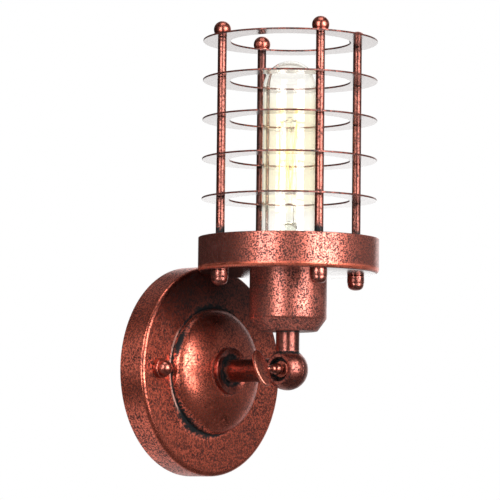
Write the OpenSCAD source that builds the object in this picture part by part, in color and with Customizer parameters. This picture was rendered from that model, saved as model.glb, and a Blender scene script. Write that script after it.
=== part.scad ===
// Wall light with an upward tube lamp in a ring cage, on a tilting knuckle.
// Millimetres. The origin is the middle of the mounting on the wall plane, +Z is up,
// and the light stands out from the wall along -Y.

/* [Canopy] */
// Diameter of the canopy that covers the wall box
canopy_d = 120; // [114:1:150]
// Depth of the canopy's rim, from the wall to its flat front
canopy_depth = 17; // [15:0.5:19]
// Thickness of the pressed sheet of the canopy
canopy_sheet = 1.2; // [0.8:0.1:1.6]
// Radius of the canopy's rounded front edge
canopy_edge_r = 2.5; // [1.8:0.1:4]
// Diameter of the raised boss at its foot
boss_d = 72; // [60:1:76]
// Height of the boss above the flat front
boss_h = 12; // [8:0.5:15]

/* [Wall bracket] */
// Thickness of both crossbars
bar_t = 2; // [1.5:0.1:3]
// Gap between each end of the upright bar and the side of the canopy
box_bar_gap = 10; // [4:0.5:11]
// Width of the upright bar
box_bar_w = 20; // [18:1:24]
// Distance from each end of the upright bar to its box screw slot
box_slot_edge = 3.05; // [2:0.05:5]
// End to end length of each slot
box_slot_l = 14.5; // [10:0.5:15]
// Width of each slot
box_slot_w = 4.6; // [4:0.1:5.5]
// Distance from each end of the level bar to its canopy stud
stud_edge = 5.5; // [4.5:0.5:7]
// Width of the level bar
fixture_bar_w = 18; // [16:1:22]
// How far the studs are inside the middle of the flat front round the boss
stud_inset = 1.5; // [0:0.1:2]
// Diameter of the canopy studs
stud_d = 4; // [3.5:0.1:4.5]
// Diameter of the round knob nuts on the canopy
knob_d = 10.8; // [10:0.2:12]
// Height of the foot of a knob nut
knob_foot_h = 3.2; // [2.6:0.1:4]
// Height of a knob nut
knob_h = 8.7; // [8:0.1:10]

/* [Arm] */
// Gap between the canopy's flat front and the back of the pan
pan_back_gap = 4.1; // [3:0.1:20]
// Outer diameter of the arm tube
arm_d = 13; // [12:0.5:14]
// Diameter of the threaded nipples
nipple_d = 10; // [9:0.5:10]
// Bore of the nipples, for the wires
nipple_bore_d = 7.6; // [6:0.2:8]
// Diameter of the dished collar at the foot of the arm
collar_d = 26.8; // [24:0.2:30]
// Height of the collar
collar_h = 3; // [2.6:0.1:5]

/* [Knuckle] */
// Diameter of the ball
ball_d = 23.3; // [22:0.1:26]
// Depth of the flat that is cut on each side of the ball
ball_flat_depth = 3.65; // [3:0.05:4]
// Diameter of the neck under the cup
stem_d = 13.3; // [12:0.1:14]
// Width of the flat rim left round the thumb screw's recess
recess_rim = 1.67; // [1:0.01:2.4]
// Depth of that recess
recess_depth = 3.5; // [2.5:0.1:4]
// Diameter of the thumb screw's thread
screw_d = 5; // [4:0.5:5]
// Diameter of the thumb screw's flange
screw_flange_d = 8.8; // [8:0.1:10]
// Distance from the ball's middle to the middle of the thumb screw's paddle
paddle_out = 22.5; // [21:0.5:28]
// Length of the paddle across the screw
paddle_l = 21.5; // [18:0.5:26]
// Width of the paddle along the screw
paddle_w = 11; // [9:0.5:13]
// Thickness of the paddle
paddle_t = 2; // [1.4:0.1:3]
// Turn of the paddle from upright at rest
paddle_turn = 21; // [0:1:90]

/* [Lamp cup and pan] */
// Height of the cup's floor above the knuckle's axis
cup_z = 21.5; // [19:0.5:30]
// Outer diameter of the cup
cup_d = 43.5; // [43:0.5:50]
// Height of the cup
cup_h = 32.7; // [32:0.1:36]
// Height of the bevel round the cup's floor
cup_bevel_h = 7.15; // [4:0.05:8]
// Width of that bevel
cup_bevel_w = 5.05; // [3:0.05:6]
// How far the pan stands out past the rings
pan_proud = 1.6; // [0:0.1:4]
// Height of the pan
pan_h = 19.6; // [14:0.2:24]
// Radius of the pan's rounded lower edge
pan_edge_r = 2.4; // [1.8:0.1:3.4]
// Thickness of the spun sheet of the cup, the pan and the holder ring
spun_sheet = 1.2; // [0.8:0.1:1.5]

/* [Ring cage] */
// Number of flat rings
ring_count = 5; // [5:1:5]
// Outer diameter of a ring
ring_d = 98.6; // [94:0.2:100]
// Width of a ring's flat band
ring_w = 15.3; // [14:0.1:17]
// Thickness of a ring
ring_t = 1; // [0.8:0.1:1.6]
// Distance from one ring to the next
ring_pitch = 22.45; // [20:0.05:26]
// Height of the lowest ring above the pan's floor
first_ring_h = 39.8; // [30:0.2:50]
// Number of tie rods
rod_count = 4; // [3:1:6]
// Diameter of a tie rod
rod_d = 4; // [3:0.1:4]
// Wall of the spacer tubes on the rods
spacer_wall = 0.4; // [0.3:0.05:0.8]
// Angle of the first rod about the lamp's axis
rod_angle = 63; // [0:1:89]
// Diameter of the round cap nuts on the rods
cap_nut_d = 9.7; // [8.6:0.1:11]
// Height of the foot of a cap nut
cap_nut_foot_h = 3.4; // [2.8:0.1:4]

/* [Lamp] */
// Diameter of the tube lamp
bulb_d = 30.7; // [29:0.1:32]
// Length of the lamp from its contact to the top of its glass
bulb_l = 136; // [130:0.5:145]
// Diameter of the lamp's screw cap
bulb_cap_d = 26.2; // [26:0.05:26.4]
// Wall of the lamp's glass
glass_t = 0.8; // [0.6:0.1:1.2]
// Gap between the lampholder's threaded sleeve and the cup
sleeve_room = 1.05; // [0.8:0.05:1.5]

/* [Hidden] */

// Colours
copper = [0.62, 0.27, 0.20];
dark_copper = [0.45, 0.19, 0.15];
zinc = [0.75, 0.75, 0.77];
brass = [0.80, 0.65, 0.33];
phenolic = [0.10, 0.09, 0.09];
ceramic = [0.93, 0.92, 0.88];
earth_green = [0.10, 0.45, 0.20];

// Facets, and points on a curved outline
$fn = 96;
arc_steps = 10;
boss_steps = 24;
wire_fn = 16;

// Clearances
fit_gap = 0.1;
run_gap = 0.05;
turn_gap = 0.3;
over = 0.5;

// Canopy values
boss_power = 2.5;
seat_r = collar_d / 2;
stud_spacing = (canopy_d + boss_d) / 2 - 2 * stud_inset;
nut_flats_d = 16;
nut_h = 3;
washer_d = 17;
washer_t = 1;
thread_show = 1.2;

// Height of the boss above the flat front at a distance r, for a boss of radius a
function boss_rise(r, a) = boss_h * pow(1 - pow(r / a, boss_power), 1 / boss_power);
seat_out = canopy_depth + boss_rise(seat_r, boss_d / 2);
under_seat_out = canopy_depth - canopy_sheet + boss_rise(seat_r, boss_d / 2 - canopy_sheet);

// Bracket values
box_bar_l = canopy_d - 2 * box_bar_gap;
box_slot_spacing = box_bar_l - box_slot_l - 2 * box_slot_edge;
fixture_bar_l = stud_spacing + 2 * stud_edge;
stud_head_d = 7.6;
stud_head_drop = 0.2;
stud_head_h = bar_t - stud_head_drop;
rivet_d = 13;
rivet_bore_d = 9.4;
rivet_flange_d = 17;
rivet_flange_t = 1;
ground_screw_x = 24;
ground_thread_d = 3.5;
ground_head_d = 7;
ground_head_h = 2.4;
ground_washer_d = 8.4;
ground_slot_w = 1;
ground_slot_share = 0.6;
ground_tail = 1.5;

// Knob and cap nut values
knob_ball_share = 0.833;
nut_thread_share = 0.72;
knob_ball_d = knob_d * knob_ball_share;
knob_thread_depth = knob_h * nut_thread_share;
cap_nut_h = cap_nut_foot_h + cap_nut_d / 2;
cap_nut_thread_depth = cap_nut_h * nut_thread_share;

// Arm values
collar_floor = 1.2;
collar_rim_w = 0.9;
collar_well_d = 18;
collar_lip = 0.4;
arm_from = seat_out + collar_floor;
neck_l = 5.4;
pan_d = ring_d + 2 * pan_proud;
arm_reach = canopy_depth + pan_back_gap + pan_d / 2;
arm_to = arm_reach - ball_d / 2 - neck_l;
nipple_grip_share = 0.477;
neck_stub_share = 0.318;
nipple_from = under_seat_out - washer_t - nut_h - thread_show;
nipple_to = arm_from + (arm_to - arm_from) * nipple_grip_share;
neck_stub_l = (arm_to - arm_from) * neck_stub_share;
bushing_flange_d = 12;
bushing_flange_t = 1.2;
bushing_neck_l = 4;
bushing_wall = 0.8;

// Knuckle values
ball_r = ball_d / 2;
hollow_share = 0.7;
hollow_r = ball_r * hollow_share;
ball_across = ball_d - 2 * ball_flat_depth;
ball_face_d = 2 * sqrt(ball_r * ball_r - ball_across * ball_across / 4);
recess_d = ball_face_d - 2 * recess_rim;
screw_seat = ball_across / 2 - recess_depth;
hollow_web = 1.5;
hollow_depth = screw_seat - hollow_web;
screw_boss_d = 9;
screw_tip_room = 0.3;
screw_tip_wall = 1.5;
screw_reach = ball_across / 2 - screw_tip_wall - screw_tip_room;
flange_t = 1.3;
bead_outs_share = [0.41, 0.55];
bead_d_share = [0.68, 0.5];
screw_neck_d = 3.4;

// Cup and lampholder values, as heights above the knuckle's axis
cup_floor_top = cup_z + spun_sheet;
base_z = cup_floor_top + washer_t + nut_h;
base_floor = 3;
stem_grip_share = 0.93;
stem_top = base_z + base_floor * stem_grip_share;
base_gap = 2.35;
base_d = cup_d - 2 * (spun_sheet + base_gap);
base_wall = 1;
ledge_w = 2;
terminal_room = 1.8;
insert_z = base_z + base_floor + terminal_room;
insert_t = 5;
base_top = insert_z + insert_t;
pan_z = cup_z + cup_h;
pan_floor_top = pan_z + spun_sheet;
sleeve_over = 6.6;
sleeve_top = pan_floor_top + sleeve_over;
sleeve_wall = 2.4;
sleeve_lip_t = 2.2;
shell_wall = 0.6;
shell_floor = 0.8;
shell_hole_d = 16;
shell_d = bulb_cap_d + 2 * turn_gap + 2 * shell_wall;
shell_drop = 4;
shell_top = sleeve_top - shell_drop;
contact_w = 5;
contact_l = 12;
contact_t = 0.5;
contact_rise = 1.8;
tongue_share = 0.7;
terminal_d = 5;
terminal_h = 1.4;
terminal_gap = 2.7;
terminal_spacing = base_d - 2 * (base_wall + ledge_w + terminal_gap) - terminal_d;
sleeve_gap = 0.3;
sleeve_d = cup_d - 2 * (spun_sheet + sleeve_room);
holder_ring_w = 7.2;
holder_ring_d = sleeve_d + 2 * (sleeve_gap + holder_ring_w);
holder_ring_skirt = 5;

// Lamp values
bulb_contact_z = base_top + contact_rise;
bulb_contact_d = 9.4;
bulb_contact_h = 1.4;
contact_tip_share = 0.7;
insulator_h = 3.6;
cap_taper_w = 1.6;
insulator_top_d = bulb_cap_d - 2 * cap_taper_w;
bulb_cap_h = 22;
cap_foot_h = 1.6;
cap_wall = 0.3;
cap_z = bulb_contact_z + bulb_contact_h + insulator_h;
cap_top = cap_z + bulb_cap_h;
neck_in = 6;
glass_neck_d = bulb_cap_d - 2 * cap_wall - 2 * fit_gap;
shoulder_h = 9;
bulb_top = bulb_contact_z + bulb_l;
flare_d = glass_neck_d - 2 * glass_t - 2 * fit_gap;
pinch_d = 8.7;
flare_z = cap_top - neck_in;
pinch_drop = 91;
pinch_z = bulb_top - pinch_drop;
pinch_h = 9;
mount_rod_d = 2.4;
mount_bead_d = 3.6;
filament_drop = 34;
filament_l = 40;
filament_top = bulb_top - filament_drop;
filament_bottom = filament_top - filament_l;
filament_r = 6.2;
filament_legs = 8;
filament_wire_d = 0.5;
filament_bend_d = 0.8;
hook_wire_d = 0.5;

// Cage values
ring_hole_d = ring_d - 2 * ring_w;
rod_circle_r = (ring_d - ring_w) / 2;
spacer_d = rod_d + 2 * (fit_gap + spacer_wall);
ring_z0 = pan_floor_top + first_ring_h;
function ring_z(i) = ring_z0 + (i - 1) * ring_pitch;
cage_top = ring_z(ring_count) + ring_t;

// Wire values
lead_d = 1.8;
lead_gap = 0.16;
lead_side = (nipple_bore_d / 2 - fit_gap - bushing_wall - lead_gap - lead_d / 2) / sqrt(2);
lead_bend_r = 5;
lead_drop = 4.8;
lead_out = canopy_depth - canopy_sheet - lead_drop;
lead_reach = 30;
lead_angles = [135, 225];
head_lead_from = 6.2;
connector_d = 10;
connector_tip_d = 6;
connector_l = 18;
connector_mouth_d = 6.4;
connector_mouth_l = 8;

// Places a shape that stands on z=0 so that it stands out from the wall
module off_wall(out = 0) {
    translate([0, -out, 0]) rotate([90, 0, 0]) children();
}

// Places a shape on the lamp's axis, at a height above the knuckle's axis
module on_head(z = 0) {
    translate([0, -arm_reach, z]) children();
}

// Places copies of a shape round the cage, one at each tie rod
module at_rods() {
    for (i = [0 : rod_count - 1])
        rotate([0, 0, rod_angle + i * 360 / rod_count]) translate([rod_circle_r, 0, 0]) children();
}

// Places copies of a shape on the two canopy studs
module at_studs() {
    for (side = [-1, 1]) translate([side * stud_spacing / 2, 0, 0]) children();
}

// Points along an arc
function arc_points(cx, cy, r, from, to) =
    [for (i = [0 : arc_steps])
        let (a = from + (to - from) * i / arc_steps)
        [cx + r * cos(a), cy + r * sin(a)]];

// Tube, or a washer where it is short
module tube(d, bore, l) {
    difference() {
        cylinder(d = d, h = l);
        translate([0, 0, -over]) cylinder(d = bore, h = l + 2 * over);
    }
}

// Hexagon nut with a round hole
module hex_nut(flats, hole, h) {
    difference() {
        cylinder(d = flats / cos(30), h = h, $fn = 6);
        translate([0, 0, -over]) cylinder(d = hole, h = h + 2 * over);
    }
}

// Blind nut with a round head on a short foot
module round_nut(d, foot_h, ball, h, bore, depth) {
    rotate_extrude() difference() {
        intersection() {
            union() {
                square([d / 2, foot_h]);
                translate([0, h - ball / 2]) circle(d = ball);
            }
            square([d / 2, h]);
        }
        translate([-over, -over]) square([bore / 2 + over, depth + over]);
    }
}

// Upright bar of the wall bracket, with a slot for each box screw
module box_bar() {
    color(zinc) off_wall() difference() {
        translate([-box_bar_w / 2, -box_bar_l / 2, 0]) cube([box_bar_w, box_bar_l, bar_t]);
        for (side = [-1, 1]) translate([0, side * box_slot_spacing / 2, -over]) box_slot();
        translate([0, 0, -over]) cylinder(d = rivet_d + 2 * fit_gap, h = bar_t + 2 * over);
    }
}

module box_slot() {
    straight = box_slot_l - box_slot_w;
    for (end = [-1, 1]) translate([0, end * straight / 2, 0]) cylinder(d = box_slot_w, h = bar_t + 2 * over);
    translate([-box_slot_w / 2, -straight / 2, 0]) cube([box_slot_w, straight, bar_t + 2 * over]);
}

// Level bar of the wall bracket, with a threaded hole for each canopy stud
module fixture_bar() {
    color(zinc) off_wall(bar_t) difference() {
        translate([-fixture_bar_l / 2, -fixture_bar_w / 2, 0]) cube([fixture_bar_l, fixture_bar_w, bar_t]);
        at_studs() translate([0, 0, -over]) cylinder(d = stud_d + 2 * fit_gap, h = bar_t + 2 * over);
        translate([0, 0, -over]) cylinder(d = rivet_d + 2 * fit_gap, h = bar_t + 2 * over);
        translate([ground_screw_x, 0, -over])
            cylinder(d = ground_thread_d + 2 * fit_gap, h = bar_t + 2 * over);
    }
}

// Hollow rivet that joins the two bars
module bar_rivet() {
    color(zinc) off_wall() difference() {
        union() {
            cylinder(d = rivet_d, h = 2 * bar_t + rivet_flange_t);
            translate([0, 0, 2 * bar_t]) cylinder(d = rivet_flange_d, h = rivet_flange_t);
        }
        translate([0, 0, -over]) cylinder(d = rivet_bore_d, h = 2 * bar_t + rivet_flange_t + 2 * over);
    }
}

// Screws through the level bar that the canopy hangs on
module canopy_studs() {
    stud_to = canopy_depth + knob_thread_depth - fit_gap;
    color(zinc) off_wall() at_studs() {
        translate([0, 0, bar_t - stud_head_h]) cylinder(d = stud_head_d, h = stud_head_h);
        translate([0, 0, bar_t]) cylinder(d = stud_d, h = stud_to - bar_t);
    }
}

// Earth screw in the level bar
module ground_screw() {
    color(earth_green) off_wall(2 * bar_t) translate([ground_screw_x, 0, 0]) difference() {
        union() {
            translate([0, 0, -bar_t - ground_tail]) cylinder(d = ground_thread_d, h = bar_t + ground_tail);
            cylinder(d = ground_washer_d, h = ground_head_h / 3);
            cylinder(d = ground_head_d, h = ground_head_h);
        }
        translate([-ground_head_d, -ground_slot_w / 2, ground_head_h * ground_slot_share])
            cube([2 * ground_head_d, ground_slot_w, ground_head_h]);
    }
}

// Outline of the canopy, moved in from the outer face
function canopy_outline(inset, foot) =
    let (rim = canopy_d / 2 - inset, level = canopy_depth - inset, edge = canopy_edge_r - inset)
    let (a = boss_d / 2 - inset)
    concat(
        [[0, foot], [rim, foot]],
        arc_points(rim - edge, level - edge, edge, 0, 90),
        [for (i = [0 : boss_steps])
            let (r = seat_r + (a - seat_r) * cos(90 * i / boss_steps))
            [r, level + boss_rise(min(r, a), a)]],
        [[0, level + boss_rise(seat_r, a)]]
    );

// Pressed round cover with a raised boss
module canopy() {
    color(dark_copper) off_wall() difference() {
        rotate_extrude() difference() {
            polygon(canopy_outline(0, 0));
            polygon(canopy_outline(canopy_sheet, -over));
        }
        cylinder(d = nipple_d + 2 * fit_gap, h = seat_out + over);
        at_studs() cylinder(d = stud_d + 2 * fit_gap, h = canopy_depth + over);
    }
}

// Round nuts that hold the canopy on its studs
module canopy_knobs() {
    color(copper) off_wall(canopy_depth) at_studs()
        round_nut(knob_d, knob_foot_h, knob_ball_d, knob_h, stud_d + 2 * fit_gap, knob_thread_depth);
}

// Threaded tube that holds the arm on the canopy
module nipple() {
    color(zinc) off_wall(nipple_from) tube(nipple_d, nipple_bore_d, nipple_to - nipple_from);
}

module nipple_washer() {
    color(zinc) off_wall(under_seat_out - washer_t) tube(washer_d, nipple_d + 2 * fit_gap, washer_t);
}

module nipple_locknut() {
    color(zinc) off_wall(under_seat_out - washer_t - nut_h)
        hex_nut(nut_flats_d, nipple_d + 2 * fit_gap, nut_h);
}

// Plastic bush that keeps the wires off the end of the nipple
module wire_bushing() {
    neck_d = nipple_bore_d - 2 * fit_gap;
    color(phenolic) off_wall(nipple_from - bushing_flange_t) difference() {
        union() {
            cylinder(d = bushing_flange_d, h = bushing_flange_t);
            cylinder(d = neck_d, h = bushing_flange_t + bushing_neck_l);
        }
        translate([0, 0, -over])
            cylinder(d = neck_d - 2 * bushing_wall, h = bushing_flange_t + bushing_neck_l + 2 * over);
    }
}

// Dished ring at the foot of the arm
module collar() {
    r = collar_d / 2;
    color(copper) off_wall(seat_out) rotate_extrude() polygon([
        [nipple_d / 2 + fit_gap, 0],
        [r - collar_lip, 0],
        [r, collar_lip],
        [r, collar_h - collar_lip],
        [r - collar_lip, collar_h],
        [r - collar_rim_w, collar_h - collar_lip / 2],
        [collar_well_d / 2, collar_floor + collar_lip],
        [collar_well_d / 2 - collar_lip, collar_floor],
        [nipple_d / 2 + fit_gap, collar_floor]
    ]);
}

module arm_tube() {
    color(copper) off_wall(arm_from) tube(arm_d, nipple_d + 2 * fit_gap, arm_to - arm_from);
}

// Box that fills one side of the knuckle's split
module half_space(side, depth) {
    size = 2 * (ball_d + neck_l + neck_stub_l);
    translate([side > 0 ? 0 : -depth, -size / 2, -size / 2]) cube([depth, size, size]);
}

// Ball turned about the knuckle's axis
module ball(r) {
    rotate([0, 90, 0]) sphere(r = r);
}

// One half of the ball, hollow for the wires, with a neck along +Z
module knuckle_half(side, neck_d, neck_to, stub_to) {
    difference() {
        union() {
            intersection() {
                ball(ball_r);
                half_space(side, ball_across / 2);
            }
            cylinder(d = neck_d, h = neck_to);
            cylinder(d = nipple_d, h = stub_to);
        }
        intersection() {
            ball(ball_r + turn_gap);
            half_space(-side, ball_d);
        }
        cylinder(d = nipple_bore_d, h = stub_to + over);
        knuckle_hollow(side);
    }
}

module knuckle_hollow(side) {
    rotate([0, side * 90, 0]) difference() {
        translate([0, 0, -over]) cylinder(r = hollow_r, h = hollow_depth + over);
        if (side > 0) translate([0, 0, -2 * over]) cylinder(d = screw_boss_d, h = hollow_depth + 3 * over);
    }
}

// Half of the knuckle on the arm, with the recess for the thumb screw
module knuckle_arm_half() {
    color(copper) on_head() difference() {
        rotate([-90, 0, 0])
            knuckle_half(-1, arm_d, ball_r + neck_l, ball_r + neck_l + neck_stub_l);
        rotate([0, -90, 0]) {
            translate([0, 0, screw_seat]) cylinder(d = recess_d, h = recess_depth + over);
            cylinder(d = screw_d + 2 * turn_gap, h = ball_r);
        }
    }
}

// Half of the knuckle on the lamp cup, threaded for the thumb screw
module knuckle_stem_half() {
    color(copper) on_head() difference() {
        knuckle_half(1, stem_d, cup_z, stem_top);
        translate([-over, 0, 0]) rotate([0, 90, 0])
            cylinder(d = screw_d + 2 * run_gap, h = screw_reach + screw_tip_room + over);
    }
}

// Ellipse with a whole length and a whole width
function oval_points(l, w) = [for (i = [0 : 4 * arc_steps - 1])
    let (a = 90 * i / arc_steps) [l / 2 * cos(a), w / 2 * sin(a)]];

// Thumb screw with a turned neck and an oval paddle
module thumb_screw() {
    color(copper) on_head() rotate([0, -90, 0]) {
        translate([0, 0, -screw_reach]) cylinder(d = screw_d, h = screw_reach + screw_seat);
        translate([0, 0, screw_seat]) cylinder(d = screw_flange_d, h = flange_t);
        cylinder(d = screw_neck_d, h = paddle_out);
        for (i = [0, 1]) translate([0, 0, bead_outs_share[i] * paddle_out])
            sphere(d = bead_d_share[i] * screw_flange_d);
        rotate([0, 0, paddle_turn]) translate([0, paddle_t / 2, paddle_out]) rotate([90, 0, 0])
            linear_extrude(height = paddle_t) polygon(oval_points(paddle_l, paddle_w));
    }
}

// Wire from the knuckle's hollow through the arm to a connector in the canopy
module arm_lead(angle) {
    r = lead_side * sqrt(2);
    lead_to = arm_reach - head_lead_from;
    off_wall() rotate([0, 0, angle]) {
        translate([r, 0, lead_out + lead_bend_r]) cylinder(d = lead_d, h = lead_to - lead_out - lead_bend_r);
        translate([r + lead_bend_r, 0, lead_out + lead_bend_r]) rotate([90, 0, 0])
            rotate_extrude(angle = 90, start = 180) translate([lead_bend_r, 0]) circle(d = lead_d);
        translate([r + lead_bend_r, 0, lead_out]) rotate([0, 90, 0])
            cylinder(d = lead_d, h = lead_reach - r - lead_bend_r);
    }
}

module arm_lead_upper() {
    color("black") arm_lead(lead_angles[0]);
}

module arm_lead_lower() {
    color("white") arm_lead(lead_angles[1]);
}

// Twist-on connectors where the wires meet those of the house
module wire_connectors() {
    lead_mouth = lead_reach - connector_mouth_l;
    for (angle = lead_angles) color("orange") off_wall() rotate([0, 0, angle])
        translate([lead_mouth + fit_gap, 0, lead_out]) rotate([0, 90, 0]) difference() {
            cylinder(d1 = connector_d, d2 = connector_tip_d, h = connector_l);
            translate([0, 0, -over]) cylinder(d = connector_mouth_d, h = connector_mouth_l + over);
        }
}

module stem_washer() {
    color(zinc) on_head(cup_floor_top) tube(washer_d, nipple_d + 2 * fit_gap, washer_t);
}

module stem_locknut() {
    color(zinc) on_head(cup_floor_top + washer_t) hex_nut(nut_flats_d, nipple_d + 2 * fit_gap, nut_h);
}

// Two wires from the knuckle's hollow up to the lampholder
module head_leads() {
    color("black") on_head(head_lead_from) for (side = [-1, 1])
        translate([lead_side, side * lead_side, 0]) cylinder(d = lead_d, h = insert_z - head_lead_from);
}

// Spun cup round the lampholder
module lamp_cup() {
    r = cup_d / 2;
    slope = cup_bevel_w / cup_bevel_h;
    side = spun_sheet * (sqrt(1 + slope * slope) - slope);
    color(copper) on_head(cup_z) rotate_extrude() polygon([
        [nipple_d / 2 + fit_gap, 0],
        [r - cup_bevel_w, 0],
        [r, cup_bevel_h],
        [r, cup_h],
        [r - spun_sheet, cup_h],
        [r - spun_sheet, cup_bevel_h + spun_sheet * (sqrt(1 + slope * slope) - 1) / slope],
        [r - cup_bevel_w - side, spun_sheet],
        [nipple_d / 2 + fit_gap, spun_sheet]
    ]);
}

// Lower cap of the lampholder, screwed on the end of the stem
module holder_base() {
    color(phenolic) on_head(base_z) difference() {
        cylinder(d = base_d, h = base_top - base_z);
        translate([0, 0, -over]) cylinder(d = nipple_d + 2 * fit_gap, h = base_floor + 2 * over);
        translate([0, 0, base_floor]) cylinder(d = base_d - 2 * (base_wall + ledge_w), h = base_top);
        translate([0, 0, insert_z - base_z]) cylinder(d = base_d - 2 * base_wall, h = base_top);
    }
}

// Ceramic block that carries the contacts
module holder_insert() {
    color(ceramic) on_head(insert_z) difference() {
        cylinder(d = base_d - 2 * base_wall - 2 * fit_gap, h = insert_t);
        for (side = [-1, 1]) translate([0, side * terminal_spacing / 2, -over])
            cylinder(d = terminal_d / 2 + 2 * fit_gap, h = insert_t / 2 + over);
    }
}

module terminal_screws() {
    color(brass) on_head(insert_z) for (side = [-1, 1]) translate([0, side * terminal_spacing / 2, 0]) {
        translate([0, 0, -terminal_h]) cylinder(d = terminal_d, h = terminal_h);
        cylinder(d = terminal_d / 2, h = insert_t / 2 - fit_gap);
    }
}

// Threaded sleeve that comes up through the pan, with a lip round the screw shell
module holder_sleeve() {
    color(phenolic) on_head(base_top) difference() {
        tube(sleeve_d, shell_d + 2 * fit_gap, sleeve_top - base_top);
        translate([0, 0, -over])
            cylinder(d = sleeve_d - 2 * sleeve_wall, h = sleeve_top - base_top - sleeve_lip_t + over);
    }
}

// Threaded brass shell that takes the lamp's cap
module screw_shell() {
    color(brass) on_head(base_top) difference() {
        cylinder(d = shell_d, h = shell_top - base_top);
        translate([0, 0, shell_floor]) cylinder(d = shell_d - 2 * shell_wall, h = shell_top);
        translate([0, 0, -over]) cylinder(d = shell_hole_d, h = shell_top);
    }
}

// Springy brass tongue under the lamp's contact
module centre_contact() {
    rise = contact_rise;
    color(brass) on_head(base_top) {
        translate([-contact_w / 2, -contact_l / 2, 0]) cube([contact_w, contact_l, contact_t]);
        translate([-contact_w / 2, -contact_l / 2, 0]) cube([contact_w, contact_t, rise]);
        translate([-contact_w / 2, -contact_l / 2, rise - contact_t])
            cube([contact_w, contact_l * tongue_share, contact_t]);
    }
}

// Ring that screws down on the sleeve and clamps the pan to the cup
module holder_ring() {
    bore = sleeve_d + 2 * sleeve_gap;
    color(copper) on_head(pan_floor_top) rotate_extrude() polygon([
        [bore / 2, 0],
        [holder_ring_d / 2, 0],
        [holder_ring_d / 2, spun_sheet],
        [bore / 2 + 2 * spun_sheet, spun_sheet],
        [bore / 2 + spun_sheet, 2 * spun_sheet],
        [bore / 2 + spun_sheet, holder_ring_skirt],
        [bore / 2, holder_ring_skirt]
    ]);
}

// Outline of the pan, moved in from the outer face
function pan_outline(inset, top) =
    let (r = pan_d / 2 - inset, edge = pan_edge_r - inset)
    concat([[0, inset]], arc_points(r - edge, inset + edge, edge, -90, 0), [[r, top], [0, top]]);

// Shallow spun pan that carries the cage
module pan() {
    color(copper) on_head(pan_z) difference() {
        rotate_extrude() difference() {
            polygon(pan_outline(0, pan_h));
            polygon(pan_outline(spun_sheet, pan_h + over));
        }
        translate([0, 0, -over]) cylinder(d = sleeve_d + 2 * sleeve_gap, h = spun_sheet + 2 * over);
        at_rods() translate([0, 0, -over]) cylinder(d = rod_d + 2 * fit_gap, h = spun_sheet + 2 * over);
    }
}

module tie_rods() {
    end = cap_nut_thread_depth - fit_gap;
    color(zinc) on_head(pan_z - end) at_rods() cylinder(d = rod_d, h = cage_top - pan_z + 2 * end);
}

module cap_nut() {
    round_nut(cap_nut_d, cap_nut_foot_h, cap_nut_d, cap_nut_h, rod_d + 2 * fit_gap, cap_nut_thread_depth);
}

module bottom_cap_nuts() {
    color(copper) on_head(pan_z) at_rods() mirror([0, 0, 1]) cap_nut();
}

module top_cap_nuts() {
    color(copper) on_head(cage_top) at_rods() cap_nut();
}

// Spacer tubes that end under a ring
module spacers(i) {
    from = i == 1 ? pan_floor_top : ring_z(i - 1) + ring_t;
    color(copper) on_head(from) at_rods() tube(spacer_d, rod_d + 2 * fit_gap, ring_z(i) - from);
}

// Flat cage ring with a hole for each tie rod
module ring(i) {
    color(copper) on_head(ring_z(i)) difference() {
        tube(ring_d, ring_hole_d, ring_t);
        at_rods() translate([0, 0, -over]) cylinder(d = rod_d + 2 * fit_gap, h = ring_t + 2 * over);
    }
}

// Outline of the lamp's glass, moved in from the outer face
function bulb_outline(inset, foot) =
    let (r = bulb_d / 2 - inset, neck = glass_neck_d / 2 - inset, low = cap_top - neck_in)
    concat(
        [[0, foot], [neck, foot], [neck, cap_top]],
        [for (i = [1 : arc_steps]) let (s = i / arc_steps) [
            neck + (r - neck) * (1 - cos(180 * s)) / 2, cap_top + shoulder_h * s
        ]],
        arc_points(0, bulb_top - bulb_d / 2, r, 0, 90)
    );

module bulb_glass() {
    color([0.95, 0.92, 0.8, 0.35]) on_head() rotate_extrude() difference() {
        polygon(bulb_outline(0, cap_top - neck_in));
        polygon(bulb_outline(glass_t, cap_top - neck_in - over));
    }
}

// Screw cap of the lamp
module bulb_cap() {
    r = bulb_cap_d / 2;
    color(zinc) on_head(cap_z) rotate_extrude() difference() {
        polygon([[insulator_top_d / 2, 0], [r, cap_foot_h], [r, bulb_cap_h],
            [r - cap_wall, bulb_cap_h], [r - cap_wall, cap_foot_h + cap_wall],
            [insulator_top_d / 2 - cap_wall, cap_wall], [insulator_top_d / 2 - cap_wall, 0]]);
    }
}

// Black glass between the cap and its contact
module bulb_insulator() {
    color(phenolic) on_head(cap_z - insulator_h)
        cylinder(d1 = bulb_contact_d, d2 = insulator_top_d - 2 * cap_wall - 2 * fit_gap, h = insulator_h);
}

module bulb_contact() {
    color(zinc) on_head(bulb_contact_z)
        cylinder(d1 = bulb_contact_d * contact_tip_share, d2 = bulb_contact_d, h = bulb_contact_h);
}

// Glass foot, pinch and rod that hold the filament
module bulb_mount() {
    color([0.9, 0.9, 0.85, 0.5]) on_head() rotate_extrude() polygon([
        [flare_d / 2 - glass_t, flare_z],
        [flare_d / 2, flare_z],
        [pinch_d / 2, pinch_z],
        [pinch_d / 2, pinch_z + pinch_h],
        [mount_rod_d / 2, pinch_z + pinch_h + mount_rod_d / 2],
        [mount_rod_d / 2, filament_top - mount_rod_d],
        [mount_bead_d / 2, filament_top - mount_rod_d / 2],
        [mount_bead_d / 2, filament_top + mount_rod_d / 2],
        [mount_rod_d / 2, filament_top + mount_rod_d],
        [0, filament_top + mount_rod_d],
        [0, pinch_z],
        [pinch_d / 2 - glass_t, pinch_z - glass_t],
    ]);
}

// Round wire between two points
module wire(from, to, d) {
    along = to - from;
    l = norm(along);
    translate(from) rotate([0, acos(along[2] / l), atan2(along[1], along[0])])
        cylinder(d = d, h = l, $fn = wire_fn);
}

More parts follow.
